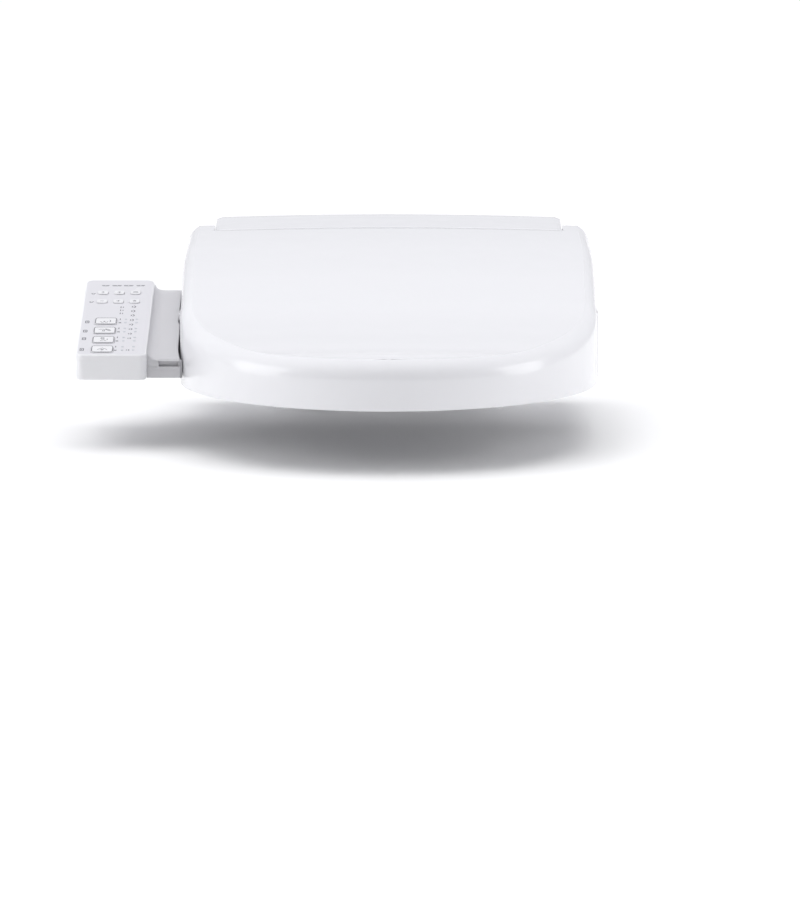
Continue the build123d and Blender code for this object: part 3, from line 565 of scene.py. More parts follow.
# the shell's lower edge: round the ring, then stepped up over the wings and up the apron to the hinge
SEAT_LOW_Z, SEAT_STEP_Y = 5.2, -197
WING_LOW_Z, WING_RISE, WING_LENGTH = 63.7, 4.5, 84
APRON_Y, APRON_RISE, APRON_LENGTH = -113, 49.4, 133


def seat_outer_point(a):
    """Where a ray from the opening's centre at angle a meets the seat's outline."""
    dx, dy = math.cos(a), math.sin(a)
    reach = 1e9
    if abs(dx) > 1e-9:
        reach = SEAT_HALF_WIDTH / abs(dx)
    if dy > 0:
        reach = min(reach, (SEAT_REAR_Y - OPENING_Y) / dy)
    y = OPENING_Y + reach * dy
    if y < LID_NOSE_CENTRE_Y:
        # on the half ellipse of the nose
        p, q = dx / SEAT_HALF_WIDTH, dy / SEAT_NOSE_REACH
        m = (OPENING_Y - LID_NOSE_CENTRE_Y) / SEAT_NOSE_REACH
        aa, bb, cc = p * p + q * q, 2 * q * m, m * m - 1
        reach = (-bb + math.sqrt(bb * bb - 4 * aa * cc)) / (2 * aa)
    x, y = reach * dx, OPENING_Y + reach * dy
    # rounded rear corners
    cx, cy = SEAT_HALF_WIDTH - SEAT_CORNER, SEAT_REAR_Y - SEAT_CORNER
    if abs(x) > cx and y > cy:
        vx, vy = abs(x) - cx, y - cy
        scale = SEAT_CORNER / math.hypot(vx, vy)
        x, y = math.copysign(cx + vx * scale, x), cy + vy * scale
    return x, y


def seat_inner_point(a):
    dx, dy = math.cos(a), math.sin(a)
    reach_y = OPENING_REAR if dy > 0 else OPENING_FRONT
    reach = 1 / math.hypot(dx / OPENING_HALF, dy / reach_y)
    return reach * dx, OPENING_Y + reach * dy


def seat_low_z(y):
    if y < SEAT_STEP_Y:
        return SEAT_LOW_Z
    wing = WING_RISE * min((y - SEAT_STEP_Y) / WING_LENGTH, 1)
    return WING_LOW_Z + wing + max(0, (y - APRON_Y) * APRON_RISE / APRON_LENGTH)


def seat_sheet():
    """Outer skin of the ring: sections from the opening's wall to the outer wall, all round."""
    vertices, faces = [], []
    around, across, round_steps = 264, 26, 5
    turns = [math.pi / 2 * k / round_steps for k in range(round_steps + 1)]
    for j in range(around):
        a = 2 * math.pi * (j + 0.5) / around
        (xi, yi), (xo, yo) = seat_inner_point(a), seat_outer_point(a)
        length = math.hypot(xo - xi, yo - yi)
        ux, uy = (xo - xi) / length, (yo - yi) / length
        flat = length - SEAT_INNER_ROUND - SEAT_OUTER_ROUND
        # each point is (distance from the opening, drop below the top, share of the wall's height)
        section = [(0.0, None, 0.0), (0.0, None, 0.5)]
        section += [(SEAT_INNER_ROUND * (1 - math.cos(t)), SEAT_INNER_ROUND * (1 - math.sin(t)), None)
                    for t in turns]
        section += [(SEAT_INNER_ROUND + flat * k / across, 0.0, None) for k in range(1, across)]
        section += [(length - SEAT_OUTER_ROUND * (1 - math.sin(t)),
                     SEAT_OUTER_ROUND * (1 - math.cos(t)), None) for t in turns]
        section += [(length, None, 0.5), (length, None, 0.0)]
        for d, drop, share in section:
            x, y = xi + ux * d, yi + uy * d
            dish = SEAT_DISH * (1 - smooth_step(d / SEAT_DISH_WIDTH))
            dish *= 1 - SEAT_DISH_FADE * smooth_step((y - SEAT_DISH_FADE_Y) / SEAT_DISH_FADE_LENGTH)
            top = eased(SEAT_TOP, y) - dish
            foot = seat_low_z(y)
            if drop is None:
                edge_down = SEAT_INNER_ROUND if d < length / 2 else SEAT_OUTER_ROUND
                z = foot + (max(top - edge_down, foot + SEAT_LEAST_WALL) - foot) * share
            else:
                z = max(top - drop, foot + SEAT_LEAST_WALL)
            vertices.append((x * MM, y * MM, z * MM))
        per = len(section)
    for j in range(around):
        b = (j + 1) % around
        for k in range(per - 1):
            faces.append((j * per + k, b * per + k, b * per + k + 1, j * per + k + 1))
    return vertices, faces


seat_white = moulded_plastic(
    "seat_gloss_white", colour=(0.85, 0.85, 0.87), edge_colour=(0.88, 0.88, 0.89), roughness=0.2, grain=300,
    depth=0.012, coat=0.3,
)
seat_ring = shell_piece("seat_ring", *seat_sheet(), thickness=0.002, rounding=0.0005)
seat_ring.data.materials.append(seat_white)
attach(seat_ring, "seat")
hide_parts("seat_top_shell")


# ---- Seat: rear wall of the ring and the two hinge arms ----
# Behind the opening the ring ends in an upright wall in front of the base unit's wings.
# An arm on each side carries the seat back to its hinge shaft.
SEAT_ARM_INNER_X, SEAT_ARM_OUTER_X = 171.2, 180.8
SEAT_ARM_EYE = 8.4
SEAT_WALL_INNER_X, SEAT_WALL_OUTER_X = 85.5, 182.6
SEAT_WALL_FRONT_Y, SEAT_WALL_REAR_Y = -199.6, -197.3
SEAT_WALL_LOW_Z, SEAT_WALL_HIGH_Z = 5.4, 64.5


def sweep_outline(outline, x0, x1):
    """A (y, z) outline in millimetres carried along X, as vertices and faces."""
    vertices = [(x * MM, y * MM, z * MM) for x in (x0, x1) for y, z in outline]
    n = len(outline)
    faces = [tuple(range(n))[::-1], tuple(range(n, 2 * n))]
    faces += [(k, (k + 1) % n, n + (k + 1) % n, n + k) for k in range(n)]
    return vertices, faces


def seat_arm_outline():
    """The arm from the side: a bar that ends in a round eye on the hinge line."""
    points = [(-46, 96), (-46, 101.5)]
    for k in range(13):
        a = math.radians(100 - 200 * k / 12)
        points.append((HINGE_Y + SEAT_ARM_EYE * math.cos(a), HINGE_Z + SEAT_ARM_EYE * math.sin(a)))
    return points + [(-29, 102.2)]


seat_wall_outline = [(SEAT_WALL_FRONT_Y, SEAT_WALL_LOW_Z), (SEAT_WALL_REAR_Y, SEAT_WALL_LOW_Z),
                     (SEAT_WALL_REAR_Y, SEAT_WALL_HIGH_Z), (SEAT_WALL_FRONT_Y, SEAT_WALL_HIGH_Z)]
for side, name in ((-1, "left"), (1, "right")):
    x0, x1 = sorted((side * SEAT_ARM_INNER_X, side * SEAT_ARM_OUTER_X))
    arm = shell_piece(f"seat_arm_{name}", *sweep_outline(seat_arm_outline(), x0, x1), rounding=0.0009)
    x0, x1 = sorted((side * SEAT_WALL_INNER_X, side * SEAT_WALL_OUTER_X))
    wall = shell_piece(f"seat_ring_wall_{name}", *sweep_outline(seat_wall_outline, x0, x1), rounding=0.0006)
    for part in (arm, wall):
        leave_flat(part)
        part.data.materials.append(seat_white)
        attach(part, "seat")
soften("seat_bottom_shell", seat_white, radius=0.0005)
soften("seat_bumpers", buffer_rubber, radius=0.0012, segments=3)


# ---- Base unit: housing and covers ----
# The lower housing and the upper cover are white gloss mouldings that clip together along a level seam.
# Rubber pads under the four corners stand on the bowl.
housing_white = moulded_plastic(
    "housing_gloss_white", colour=(0.83, 0.83, 0.85), edge_colour=(0.88, 0.88, 0.89), roughness=0.21,
    grain=320, depth=0.015, coat=0.25,
)
soften("lower_housing", housing_white, radius=0.0007)
soften("upper_cover", housing_white, radius=0.0009, segments=3)
soften("base_pads", buffer_rubber, radius=0.0004)


# ---- Base unit: strip over the hinge box ----
# A crowned strip closes the hinge box between the lid's ears. It is a separate gloss moulding with
# small rounded edges, and its front edge lies level with the lid's rear edge.
STRIP_HALF = 165.7
STRIP_FRONT_Y, STRIP_REAR_Y = -19.4, 53.9
STRIP_FRONT_Z, STRIP_REAR_Z = 123.9, 129.5
STRIP_SAG = 2.9
STRIP_EDGE_DEPTH, STRIP_EDGE_ROUND = 3.2, 0.9
STRIP_END_ROUND = 1.6


def strip_sheet():
    """Outer skin of the strip: one front-to-rear run of (distance, drop), carried across in columns."""
    vertices, faces = [], []
    columns, top_steps = 64, 12
    length = STRIP_REAR_Y - STRIP_FRONT_Y
    top = length - 2 * STRIP_EDGE_ROUND
    front = [(0.0, STRIP_EDGE_DEPTH), (0.0, STRIP_EDGE_ROUND)]
    for turn in (0.3, 0.6, 0.9, 1.2, math.pi / 2):
        front.append((STRIP_EDGE_ROUND * (1 - math.cos(turn)), STRIP_EDGE_ROUND * (1 - math.sin(turn))))
    run = front + [(STRIP_EDGE_ROUND + top * k / top_steps, 0.0) for k in range(1, top_steps)]
    run += [(length - d, drop) for d, drop in front[::-1]]
    for c in range(columns + 1):
        x = STRIP_HALF * (2 * c / columns - 1)
        past_end = max(0, (abs(x) - STRIP_HALF + STRIP_END_ROUND) / STRIP_END_ROUND)
        fall = STRIP_END_ROUND * past_end**2 + STRIP_SAG * (x / STRIP_HALF) ** 2
        for d, drop in run:
            z = STRIP_FRONT_Z + (STRIP_REAR_Z - STRIP_FRONT_Z) * d / length
            vertices.append((x * MM, (STRIP_FRONT_Y + d) * MM, (z - drop - fall) * MM))
    n = len(run)
    for c in range(columns):
        for k in range(n - 1):
            faces.append((c * n + k, (c + 1) * n + k, (c + 1) * n + k + 1, c * n + k + 1))
    return vertices, faces


hinge_strip = shell_piece("hinge_box_strip", *strip_sheet(), thickness=0.0022, rounding=0.0004)
hinge_strip.data.materials.append(lid_white)
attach(hinge_strip, "base_unit")
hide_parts("strip_cover")


# ---- Side arm ----
# A hollow bridge carries the wiring from the base unit to the control panel. Its top follows the
# panel's slope a little lower down, and sweeps up into the panel's side in a wide hollow curve.
# A slot under its front lip shows where the arm's two halves meet.
ARM_LEFT = -218.9
ARM_MEAN_RIGHT = -190
ARM_FOOT_Z = 13
ARM_BLEND, ARM_BLEND_RISE = 10.8, 8.0
ARM_SLOT_START, ARM_SLOT_EASE, ARM_SLOT_DEPTH = -208.5, 0.8, 4.2
ARM_WALL_X = -194.3
ARM_LID_GAP, ARM_LID_LEAD = 1.6, 8
ARM_SHIFT_Y, ARM_SHIFT_LENGTH = -193, 6


def arm_right(y):
    """The arm's right side: along the base unit at the rear, and along the lid's skirt at the front."""
    along = y + ARM_LID_LEAD
    taper = math.sqrt(1 - (max(LID_NOSE_CENTRE_Y - along, 0) / LID_NOSE_REACH) ** 2)
    beside_lid = -(lid_side_x(along) * taper + ARM_LID_GAP)
    return ARM_WALL_X + (beside_lid - ARM_WALL_X) * smooth_step((ARM_SHIFT_Y - y) / ARM_SHIFT_LENGTH)


def arm_profile(u):
    """The arm's outline in (x, y, z) at one share of its width, from the front foot to the rear foot."""
    nominal = ARM_LEFT + u * (ARM_MEAN_RIGHT - ARM_LEFT)
    blend = min(max((ARM_LEFT + ARM_BLEND - nominal) / ARM_BLEND, 0), 1)
    lift = ARM_BLEND_RISE * (1 - math.sqrt(1 - blend * blend))
    slot_y = -289.8 + ARM_SLOT_DEPTH * smooth_step((nominal - ARM_SLOT_START) / ARM_SLOT_EASE)
    # the front wall with its slot, then the straight slope, then the round fall to the rear foot
    points = [(-290, ARM_FOOT_Z), (-290, 16), (-290, 19), (-290, 22.4), (-289.4, 23.0),
              (slot_y, 23.2), (slot_y, 25.5), (slot_y, 27.9),
              (-289.2, 28.1), (-289.5, 28.6), (-288.6, 29.4 + lift * 0.8)]
    points += [(-287.6 + 167.6 * k / 30, 29.7 + lift + 41.0 * k / 30) for k in range(31)]
    points += [(-112, 71.6 + lift * 0.9), (-100, 71.8 + lift * 0.7), (-88, 71.0 + lift * 0.4),
               (-78, 68.0 + lift * 0.2), (-70, 63.0), (-64, 56.5), (-62, 52), (-62, 30), (-62, ARM_FOOT_Z)]
    return [(ARM_LEFT + (arm_right(y) - ARM_LEFT) * u, y, z) for y, z in points]


def arm_sheet():
    """Skin of the arm: rows close together over the blend and the slot's end, and wider beyond."""
    blend_share = ARM_BLEND / (ARM_MEAN_RIGHT - ARM_LEFT)
    shares = [blend_share * k / 14 for k in range(15)]
    shares += [0.383, 0.393, 0.41, 0.48, 0.56, 0.64, 0.72, 0.8, 0.88, 0.95, 1]
    rows = [arm_profile(u) for u in shares]
    vertices = [(x * MM, y * MM, z * MM) for row in rows for x, y, z in row]
    n = len(rows[0])
    faces = []
    for a in range(0, (len(rows) - 1) * n, n):
        faces += [(a + k, a + n + k, a + n + k + 1, a + k + 1) for k in range(n - 1)]
    # both sides are closed by quads between the top and the foot
    for row, start in ((rows[0], 0), (rows[-1], (len(rows) - 1) * n)):
        foot = len(vertices)
        vertices += [(x * MM, y * MM, ARM_FOOT_Z * MM) for x, y, z in row]
        faces += [(start + k, foot + k, foot + k + 1, start + k + 1) for k in range(n - 1)]
    return vertices, faces


arm_cover = shell_piece("side_arm_cover", *arm_sheet(), thickness=0.002, rounding=0.0003)
# the arm is the panel's white plastic, coloured a darker grey here: painted shade for the shadowed trough
# between the lid and the panel
arm_painted_shade = moulded_plastic(
    "arm_white_painted_shade", colour=(0.6, 0.595, 0.615), edge_colour=(0.7, 0.7, 0.71), roughness=0.36,
    grain=420, depth=0.03, coat=0.1,
)
arm_cover.data.materials.append(arm_painted_shade)
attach(arm_cover, "base_unit")
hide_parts("side_arm")


# ---- Control panel: case and cover ----
# The panel is a shallow case with a sloping cover, both moulded in satin white. The cover has a small
# bevel all round and close-fitting holes for ten keys and sixteen light pipes.
case_white = moulded_plastic(
    "panel_case_satin_white", colour=(0.88, 0.88, 0.9), edge_colour=(0.9, 0.9, 0.92), roughness=0.34,
    grain=420, depth=0.03, coat=0.1,
)
# the same satin white as the case, with painted shade on the sloping top added below
cover_white_painted_shade = moulded_plastic(
    "panel_cover_white_painted_shade", colour=(0.88, 0.88, 0.9), edge_colour=(0.9, 0.9, 0.92), roughness=0.34,
    grain=420, depth=0.03, coat=0.1,
)
# faces of the cover that look up, chiefly the sloping top, are painted a slightly greyer blue-grey: painted
# shade
tree = cover_white_painted_shade.node_tree
facing = tree.nodes.new("ShaderNodeNewGeometry")
facing_up = tree.nodes.new("ShaderNodeSeparateXYZ")
top_shade_mask = remap(tree, 0.86, 0.95)
painted_top_shade = colour_mix(tree, second=(0.735, 0.73, 0.765))
base_colour = tree.nodes["Principled BSDF"].inputs["Base Color"]
plain = base_colour.links[0].from_socket
tree.links.new(facing.outputs["Normal"], facing_up.inputs["Vector"])
tree.links.new(facing_up.outputs["Z"], top_shade_mask.inputs["Value"])
tree.links.new(top_shade_mask.outputs["Result"], painted_top_shade.inputs["Factor"])
tree.links.new(plain, painted_top_shade.inputs["A"])
tree.links.new(painted_top_shade.outputs["Result"], base_colour)
soften("panel_case", case_white, radius=0.0008, segments=3)
soften("panel_cover", cover_white_painted_shade, radius=0.0003)


# ---- Control panel: keys ----
# Each key is a separate cap with rounded corners that stands just proud of the cover. The four large
# keys start the wash and dry functions and the six small ones set warmth, pressure and position.
key_white = moulded_plastic(
    "key_satin_white", colour=(0.83, 0.83, 0.85), edge_colour=(0.9, 0.9, 0.91), roughness=0.3, grain=500,
    depth=0.03, coat=0.1,
)
LARGE_KEYS = [f"function_key_{number}" for number in range(1, 5)]
SMALL_KEYS = [f"setting_key_{number}" for number in range(1, 7)]
for name in LARGE_KEYS + SMALL_KEYS:
    soften(name, key_white, radius=0.00025)

# ---- Control panel: light pipes ----
# Small round lenses in frosted clear plastic glow when a setting is chosen; they are unlit here.
lens_clear = moulded_plastic(
    "lens_frosted", colour=(0.62, 0.64, 0.68), edge_colour=(0.75, 0.76, 0.8), roughness=0.33, grain=900,
    coat=0.3,
)
soften("indicator_lenses", lens_clear, radius=0.0002)

# ---- Control panel: printed marks ----
# Pictograms and level bars are pad-printed in grey ink on the keys and beside the lights.
PANEL_FOOT_Y, PANEL_FOOT_Z, PANEL_RISE = -300.0, 35.0, 49.0 / 185.0
INK = 0.05
ink_grey = moulded_plastic(
    "printed_grey_ink", colour=(0.1, 0.1, 0.12), edge_colour=(0.3, 0.3, 0.32), roughness=0.5, grain=1800,
    depth=0.05, edges=0.1, dust=0.02,
)


def on_cover(x, y, up):
    """The place in metres of a point (x, y) that stands up from the sloping cover."""
    slope = math.atan(PANEL_RISE)
    return (x * MM, (y - up * math.sin(slope)) * MM,
            (PANEL_FOOT_Z + (y - PANEL_FOOT_Y) * PANEL_RISE + up * math.cos(slope)) * MM)


def printed_marks(name, strokes, width, up, body):
    """Ribbons of ink along open or closed lines of (x, y), standing up from the panel's plane."""
    vertices, faces = [], []
    for line in strokes:
        closed = line[0] == line[-1] and len(line) > 2
        points = line[:-1] if closed else line
        start = len(vertices)
        n = len(points)
        for k, (x, y) in enumerate(points):
            x0, y0 = points[k - 1] if (k or closed) else points[k]
            x1, y1 = points[(k + 1) % n] if (k < n - 1 or closed) else points[k]
            length = math.hypot(x1 - x0, y1 - y0) or 1
            nx, ny = -(y1 - y0) / length * width / 2, (x1 - x0) / length * width / 2
            for side, high in ((1, 0), (1, INK), (-1, INK), (-1, 0)):
                vertices.append(on_cover(x + side * nx, y + side * ny, up + high))
        for k in range(n if closed else n - 1):
            a, b = start + 4 * k, start + 4 * ((k + 1) % n)
            faces += [(a + i, a + (i + 1) % 4, b + (i + 1) % 4, b + i) for i in range(4)]
        if not closed:
            end = start + 4 * (n - 1)
            faces += [(start, start + 3, start + 2, start + 1), (end, end + 1, end + 2, end + 3)]
    marks = shell_piece(name, vertices, faces)
    leave_flat(marks)
    marks.data.materials.append(ink_grey)
    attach(marks, body)


def arc(x, y, rx, ry, a0, a1, steps=12):
    return [(x + rx * math.cos(math.radians(a0 + (a1 - a0) * k / steps)),
             y + ry * math.sin(math.radians(a0 + (a1 - a0) * k / steps))) for k in range(steps + 1)]


def ring(x, y, r, steps=14):
    points = arc(x, y, r, r, 0, 360, steps)
    return points[:-1] + [points[0]]


def rounded_frame(x, y, half_w, half_l, r):
    points = []
    for cx, cy, a in ((1, 1, 0), (-1, 1, 90), (-1, -1, 180), (1, -1, 270)):
        points += arc(x + cx * (half_w - r), y + cy * (half_l - r), r, r, a, a + 90, 6)
    return points + [points[0]]


KEY_TOP = 0.9
LARGE_X = -259.5
LARGE_ROWS = (-220, -242.4, -264.8, -287.2)
LARGE_ICONS = [
    [arc(-3.2, -0.5, 1.7, 3.0, 200, 360, 8), arc(0.4, -0.5, 1.7, 3.0, 180, 340, 8),
     [(3.6, 2.2), (4.6, -0.4), (3.6, -3.0)]],
    [[(-5.6, 1.6), (-2.0, 2.2), (1.4, 1.0), (4.8, -2.4)], [(0.6, 3.0), (3.6, 1.4), (5.6, -1.2)],
     ring(-1.0, -1.6, 1.1)],
    [ring(-1.0, 3.0, 1.5), [(-1.2, 1.0), (-2.6, -3.2), (2.4, -3.2), (-1.2, 1.0)],
     [(3.4, 1.4), (3.4, -1.6)]],
    [[(-4.4, -1.8), (0, 2.0), (4.4, -1.8)], [(-1.6, -2.4), (0, -0.8), (1.6, -2.4)],
     [(0, -1.2), (0, -4.2)]],
]
for number, (y, icon) in enumerate(zip(LARGE_ROWS, LARGE_ICONS), 1):
    lines = [[(LARGE_X + a, y + b) for a, b in line] for line in icon]
    lines.append(rounded_frame(LARGE_X, y, 9.4, 7.1, 2.2))
    printed_marks(f"function_mark_{number}", lines, 0.62, KEY_TOP, f"function_key_{number}")

SMALL_ICONS = [
    [[(-1.6, 0), (1.6, 0)], [(0, -1.6), (0, 1.6)]],
    [[(-1.6, -0.8), (0, 1.0), (1.6, -0.8)], [(0, 0.8), (0, -2.0)]],
    [arc(0, 0, 2.2, 1.2, 20, 160, 8), [(-2.4, -0.8), (2.4, -0.8)]],
    [[(-1.6, 0), (1.6, 0)]],
    [[(-1.6, 0.8), (0, -1.0), (1.6, 0.8)], [(0, -0.8), (0, 2.0)]],
    [ring(0, 0, 1.3), [(0, 0.2), (0, 2.2)]],
]
SMALL_PLACES = [(x, y) for y in (-149, -171) for x in (-265.7, -250.6, -235.5)]
for number, ((x, y), icon) in enumerate(zip(SMALL_PLACES, SMALL_ICONS), 1):
    lines = [[(x + a, y + b) for a, b in line] for line in icon]
    printed_marks(f"setting_mark_{number}", lines, 0.55, KEY_TOP, f"setting_key_{number}")

# level bars, frames, crosses, ticks and waves beside the keys and the lights
BARS = [(-264.2, -130.6, 3.6), (-253.6, -130.6, 4.6), (-242.9, -130.6, 4.6), (-231.6, -130.6, 4.0),
        (-274.6, -151.0, 2.0), (-275.4, -171.6, 2.2)]
FRAMES = [(-276.6, -220.5), (-277.2, -242.8), (-277.4, -261.0), (-278.0, -286.8)]
CROSSES = [(-246.6, -214.0), (-246.8, -236.0), (-247.2, -258.0), (-247.6, -280.0)]
TICK_ROWS = (-184.4, -192.0, -199.6)
WAVE_ROWS = (-183.3, -194.0, -204.5, -216.0, -227.0, -238.0, -249.0, -260.0, -288.0)
cover_lines = []
for x, y, half in BARS:
    cover_lines += [[(x - half, y + 0.7), (x - 0.4, y + 0.7)], [(x + 0.5, y + 0.7), (x + half, y + 0.7)],
                    [(x - half + 0.6, y - 0.8), (x + half - 0.8, y - 0.8)]]
for x, y in FRAMES:
    cover_lines += [rounded_frame(x, y, 1.5, 2.6, 0.6), [(x, y - 1.4), (x, y + 1.4)]]
for x, y in CROSSES:
    cover_lines += [[(x, y - 1.6), (x, y + 1.6)],
                    [(x - 1.0, y - 9.5), (x + 1.0, y - 7.6)], [(x - 1.0, y - 7.6), (x + 1.0, y - 9.5)]]
for y in TICK_ROWS:
    cover_lines += [[(-247.4, y - 1.8), (-247.4, y + 1.8)], [(-245.2, y - 1.2), (-245.2, y + 1.2)]]
for row, y in enumerate(WAVE_ROWS):
    size = 2.5 - 0.15 * row
    cover_lines += [arc(-236.4, y, size, size, -75, 75, 6),
                    arc(-238.2, y, size * 0.7, size * 0.7, -60, 60, 5)]
printed_marks("panel_labels", cover_lines, 0.75, 0.0, "base_unit")


# ---- Mount: plate ----
# A flat white plate bolted to the bowl. The base unit slides over its undercut edges from the front.
plate_nylon = moulded_plastic(
    "plate_glass_filled_nylon", colour=(0.74, 0.74, 0.74), edge_colour=(0.84, 0.84, 0.84), roughness=0.5,
    grain=900, depth=0.12, edges=0.3, dust=0.2,
)
soften("mounting_plate", plate_nylon, radius=0.0005)

# ---- Mount: bolts, bushings, washers and wing nuts ----
# Stainless T-bolts drop through the plate's slots. A rubber cone centres each one in the bowl's hole,
# and a nylon wing nut pulls it tight from below over a steel washer.

# brushed grain: long fine scratches in the direction that a rolled or turned metal part is finished
brushed = bpy.data.node_groups.new("brushed grain", "ShaderNodeTree")
group_socket(brushed, "Stretch", "NodeSocketVector", "INPUT", (1.0, 40.0, 40.0))
group_socket(brushed, "Base Roughness", "NodeSocketFloat", "INPUT", 0.3)
group_socket(brushed, "Height", "NodeSocketFloat", "OUTPUT")
group_socket(brushed, "Roughness", "NodeSocketFloat", "OUTPUT")
group_socket(brushed, "Stain", "NodeSocketFloat", "OUTPUT")
entry, leave = group_ends(brushed)
place = brushed.nodes.new("ShaderNodeTexCoord")
stretch = brushed.nodes.new("ShaderNodeVectorMath")
stretch.operation = "MULTIPLY"
scratch = noise(brushed, 60, 6)
patch = noise(brushed, 55, 4)
spread = brushed.nodes.new("ShaderNodeMath")
spread.operation = "MULTIPLY_ADD"
spread.inputs[1].default_value = 0.22
link = brushed.links.new
link(place.outputs["Object"], stretch.inputs[0])
link(entry.outputs["Stretch"], stretch.inputs[1])
link(stretch.outputs["Vector"], scratch.inputs["Vector"])
link(place.outputs["Object"], patch.inputs["Vector"])
link(scratch.outputs["Fac"], spread.inputs[0])
link(entry.outputs["Base Roughness"], spread.inputs[2])
link(spread.outputs["Value"], leave.inputs["Roughness"])
link(scratch.outputs["Fac"], leave.inputs["Height"])
link(patch.outputs["Fac"], leave.inputs["Stain"])


def metal(name, clean, stained, roughness, stretch):
    """A brushed metal finish with slight staining."""
    material, tree, shader = new_finish(name)
    shader.inputs["Metallic"].default_value = 1.0
    grain = tree.nodes.new("ShaderNodeGroup")
    grain.node_tree = brushed
    grain.inputs["Stretch"].default_value = stretch
    grain.inputs["Base Roughness"].default_value = roughness
    colour = colour_mix(tree, clean, stained)
    bump = tree.nodes.new("ShaderNodeBump")
    bump.inputs["Strength"].default_value = 0.15
    bump.inputs["Distance"].default_value = 0.0001
    tree.links.new(grain.outputs["Stain"], colour.inputs["Factor"])
    tree.links.new(colour.outputs["Result"], shader.inputs["Base Color"])
    tree.links.new(grain.outputs["Roughness"], shader.inputs["Roughness"])
    tree.links.new(grain.outputs["Height"], bump.inputs["Height"])
    tree.links.new(bump.outputs["Normal"], shader.inputs["Normal"])
    return material


bolt_steel = metal(
    "bolt_stainless_steel", clean=(0.6, 0.61, 0.62), stained=(0.45, 0.45, 0.46), roughness=0.24,
    stretch=(40.0, 40.0, 1.0),
)
bushing_rubber = moulded_plastic(
    "bushing_black_rubber", colour=(0.035, 0.035, 0.037), edge_colour=(0.09, 0.09, 0.09), roughness=0.65,
    grain=1400, depth=0.25, edges=0.5, dust=0.4,
)
wing_nylon = moulded_plastic(
    "wing_nut_nylon", colour=(0.78, 0.78, 0.76), edge_colour=(0.86, 0.86, 0.85), roughness=0.45, grain=900,
    depth=0.1, edges=0.3, dust=0.15,
)
soften("mounting_bolts", bolt_steel, radius=0.0003)
soften("bolt_bushings", bushing_rubber, segments=3)
soften("bolt_washers", bolt_steel, radius=0.0002)
soften("wing_nuts", wing_nylon, radius=0.0005, segments=3)

# ---- Hinge: shafts and soft-close dampers ----
# A ground steel shaft on each side carries the seat and the lid. A sealed oil damper turns with it.
hinge_steel = metal(
    "shaft_ground_steel", clean=(0.66, 0.66, 0.67), stained=(0.5, 0.5, 0.5), roughness=0.18,
    stretch=(1.0, 60.0, 60.0),
)
damper_grey = moulded_plastic(
    "damper_grey_acetal", colour=(0.33, 0.34, 0.36), edge_colour=(0.45, 0.45, 0.46), roughness=0.4,
    grain=800, depth=0.06, edges=0.3, dust=0.15,
)
soften("hinge_shafts", hinge_steel, radius=0.0003)
soften("soft_close_dampers", damper_grey, radius=0.0005)

# ---- Wand: tube with its rack, and tip ----
# A white acetal tube slides out of the port on its carrier. A moulded rack runs along its underside,
# and the tip carries the spray holes and a wide cap that closes the port.
wand_white = moulded_plastic(
    "wand_white_acetal", colour=(0.8, 0.81, 0.82), edge_colour=(0.88, 0.88, 0.89), roughness=0.32,
    grain=500, depth=0.03, coat=0.15, edges=0.3, dust=0.04,
)
soften("wand_tube", wand_white, radius=0.00025)
soften("wand_tip", wand_white, radius=0.0004, segments=3)

# ---- Wand: carrier, pinion and motor ----
# The nylon carrier guides the tube at thirty degrees. A small motor turns the pinion in its window.
carrier_nylon = moulded_plastic(
    "carrier_natural_nylon", colour=(0.62, 0.6, 0.55), edge_colour=(0.72, 0.7, 0.66), roughness=0.5,
    grain=800, depth=0.12, edges=0.3, dust=0.12,
)
pinion_acetal = moulded_plastic(
    "pinion_white_acetal", colour=(0.72, 0.72, 0.7), edge_colour=(0.8, 0.8, 0.78), roughness=0.36,
    grain=600, depth=0.05, edges=0.5, dust=0.04,
)
motor_can = metal(
    "motor_zinc_can", clean=(0.5, 0.5, 0.5), stained=(0.36, 0.36, 0.36), roughness=0.34,
    stretch=(1.0, 30.0, 30.0),
)
soften("nozzle_carrier", carrier_nylon, radius=0.0005)
soften("wand_pinion", pinion_acetal, radius=0.00015, segments=1)
soften("wand_motor", motor_can, radius=0.0004)

# ---- Dryer: blower, wheel, motor, duct, heater and flap ----
# A scroll blower pushes air over a ribbon heater and out under a hinged flap beside the wand.
dark_case = moulded_plastic(
    "blower_black_plastic", colour=(0.04, 0.04, 0.043), edge_colour=(0.1, 0.1, 0.1), roughness=0.45,
    grain=800, depth=0.12, edges=0.5, dust=0.3,
)
duct_grey = moulded_plastic(
    "duct_grey_plastic", colour=(0.34, 0.35, 0.36), edge_colour=(0.46, 0.46, 0.47), roughness=0.5,
    grain=800, depth=0.12, edges=0.3, dust=0.2,
)
heater_ribbon = metal(
    "heater_ribbon", clean=(0.46, 0.42, 0.4), stained=(0.3, 0.24, 0.22), roughness=0.4,
    stretch=(1.0, 30.0, 30.0),
)
soften("blower_housing", dark_case, radius=0.0005)
soften("blower_wheel", duct_grey, radius=0.0)
soften("blower_motor", motor_can, radius=0.0005)
soften("dryer_duct", duct_grey, radius=0.0004)
soften("dryer_heater", heater_ribbon, radius=0.0)
soften("dryer_flap", housing_white, radius=0.0004, segments=3)

# ---- Deodoriser: housing, wheel and filter drawer ----
# A small fan draws air through a charcoal filter. The filter's drawer pulls out of the right side.
soften("deodoriser_housing", dark_case, radius=0.0005)
soften("deodoriser_wheel", duct_grey, radius=0.0)
soften("filter_cartridge", housing_white, radius=0.0004, segments=3)

# ---- Release button ----
# Pressing the grey button in the right side frees the base unit from its plate.
button_grey = moulded_plastic(
    "button_light_grey", colour=(0.55, 0.56, 0.58), edge_colour=(0.66, 0.66, 0.68), roughness=0.36,
    grain=600, depth=0.05, edges=0.4, dust=0.1,
)
soften("release_button", button_grey, radius=0.0004, segments=3)

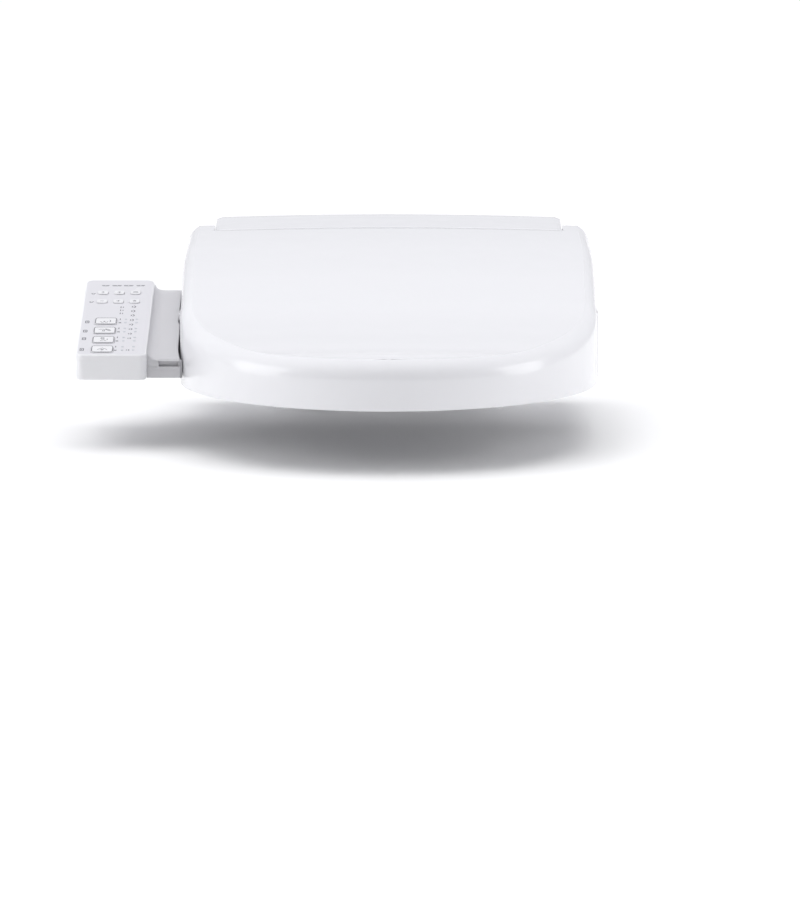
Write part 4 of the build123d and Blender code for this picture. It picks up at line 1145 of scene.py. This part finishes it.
# ---- Water: inlet, valve, heater tank, pump and hose ----
# Cold water enters at the left, passes a solenoid valve and a heated tank, and is pumped to the wand.
inlet_brass = metal(
    "inlet_plated_brass", clean=(0.6, 0.58, 0.54), stained=(0.46, 0.42, 0.34), roughness=0.22,
    stretch=(60.0, 1.0, 1.0),
)
tank_grey = moulded_plastic(
    "tank_grey_plastic", colour=(0.42, 0.43, 0.44), edge_colour=(0.52, 0.52, 0.53), roughness=0.46,
    grain=800, depth=0.12, edges=0.3, dust=0.2,
)
hose_silicone = moulded_plastic(
    "hose_silicone", colour=(0.7, 0.69, 0.66), edge_colour=(0.76, 0.75, 0.73), roughness=0.4, grain=1200,
    depth=0.06, dust=0.15,
)
soften("water_inlet", inlet_brass, radius=0.0004)
soften("solenoid_valve", carrier_nylon)
soften("heater_tank", tank_grey)
soften("air_pump", dark_case)
soften("feed_hose", hose_silicone, radius=0.0)

# ---- Electrics: boards, power box, cord gland and seat heater ----
# The power box and main board sit in the hinge box; a second board lies under the panel's keys.
# A printed foil under the seat's top shell warms it.


def circuit_board(name, resist, track, pad):
    """Solder resist with a raised pattern of straight tracks and small tinned pads."""
    material, tree, shader = new_finish(name)
    shader.inputs["Roughness"].default_value = 0.32
    place = tree.nodes.new("ShaderNodeTexCoord")
    tracks = tree.nodes.new("ShaderNodeTexVoronoi")
    tracks.distance = "CHEBYCHEV"
    tracks.feature = "F1"
    tracks.inputs["Scale"].default_value = 220
    edge = tree.nodes.new("ShaderNodeMath")
    edge.operation = "GREATER_THAN"
    edge.inputs[1].default_value = 0.42
    pads = tree.nodes.new("ShaderNodeTexVoronoi")
    pads.inputs["Scale"].default_value = 160
    dot = tree.nodes.new("ShaderNodeMath")
    dot.operation = "LESS_THAN"
    dot.inputs[1].default_value = 0.16
    tracked, padded = colour_mix(tree, resist, track), colour_mix(tree, second=pad)
    bump = tree.nodes.new("ShaderNodeBump")
    bump.inputs["Strength"].default_value = 0.3
    bump.inputs["Distance"].default_value = 0.0002
    tree.links.new(place.outputs["Object"], tracks.inputs["Vector"])
    tree.links.new(place.outputs["Object"], pads.inputs["Vector"])
    tree.links.new(tracks.outputs["Distance"], edge.inputs[0])
    tree.links.new(pads.outputs["Distance"], dot.inputs[0])
    tree.links.new(edge.outputs["Value"], tracked.inputs["Factor"])
    tree.links.new(dot.outputs["Value"], padded.inputs["Factor"])
    tree.links.new(tracked.outputs["Result"], padded.inputs["A"])
    tree.links.new(padded.outputs["Result"], shader.inputs["Base Color"])
    tree.links.new(dot.outputs["Value"], shader.inputs["Metallic"])
    tree.links.new(edge.outputs["Value"], bump.inputs["Height"])
    tree.links.new(bump.outputs["Normal"], shader.inputs["Normal"])
    return material


board_green = circuit_board(
    "board_green_resist", resist=(0.02, 0.13, 0.06), track=(0.03, 0.2, 0.09), pad=(0.62, 0.6, 0.55),
)
heater_foil = metal(
    "heater_foil", clean=(0.72, 0.72, 0.73), stained=(0.6, 0.6, 0.61), roughness=0.34,
    stretch=(30.0, 30.0, 30.0),
)
soften("main_board", board_green, radius=0.0)
soften("panel_board", board_green, radius=0.0)
soften("power_box", dark_case)
soften("cord_gland", duct_grey, radius=0.0005)
soften("seat_heater_sheet", heater_foil, radius=0.0)
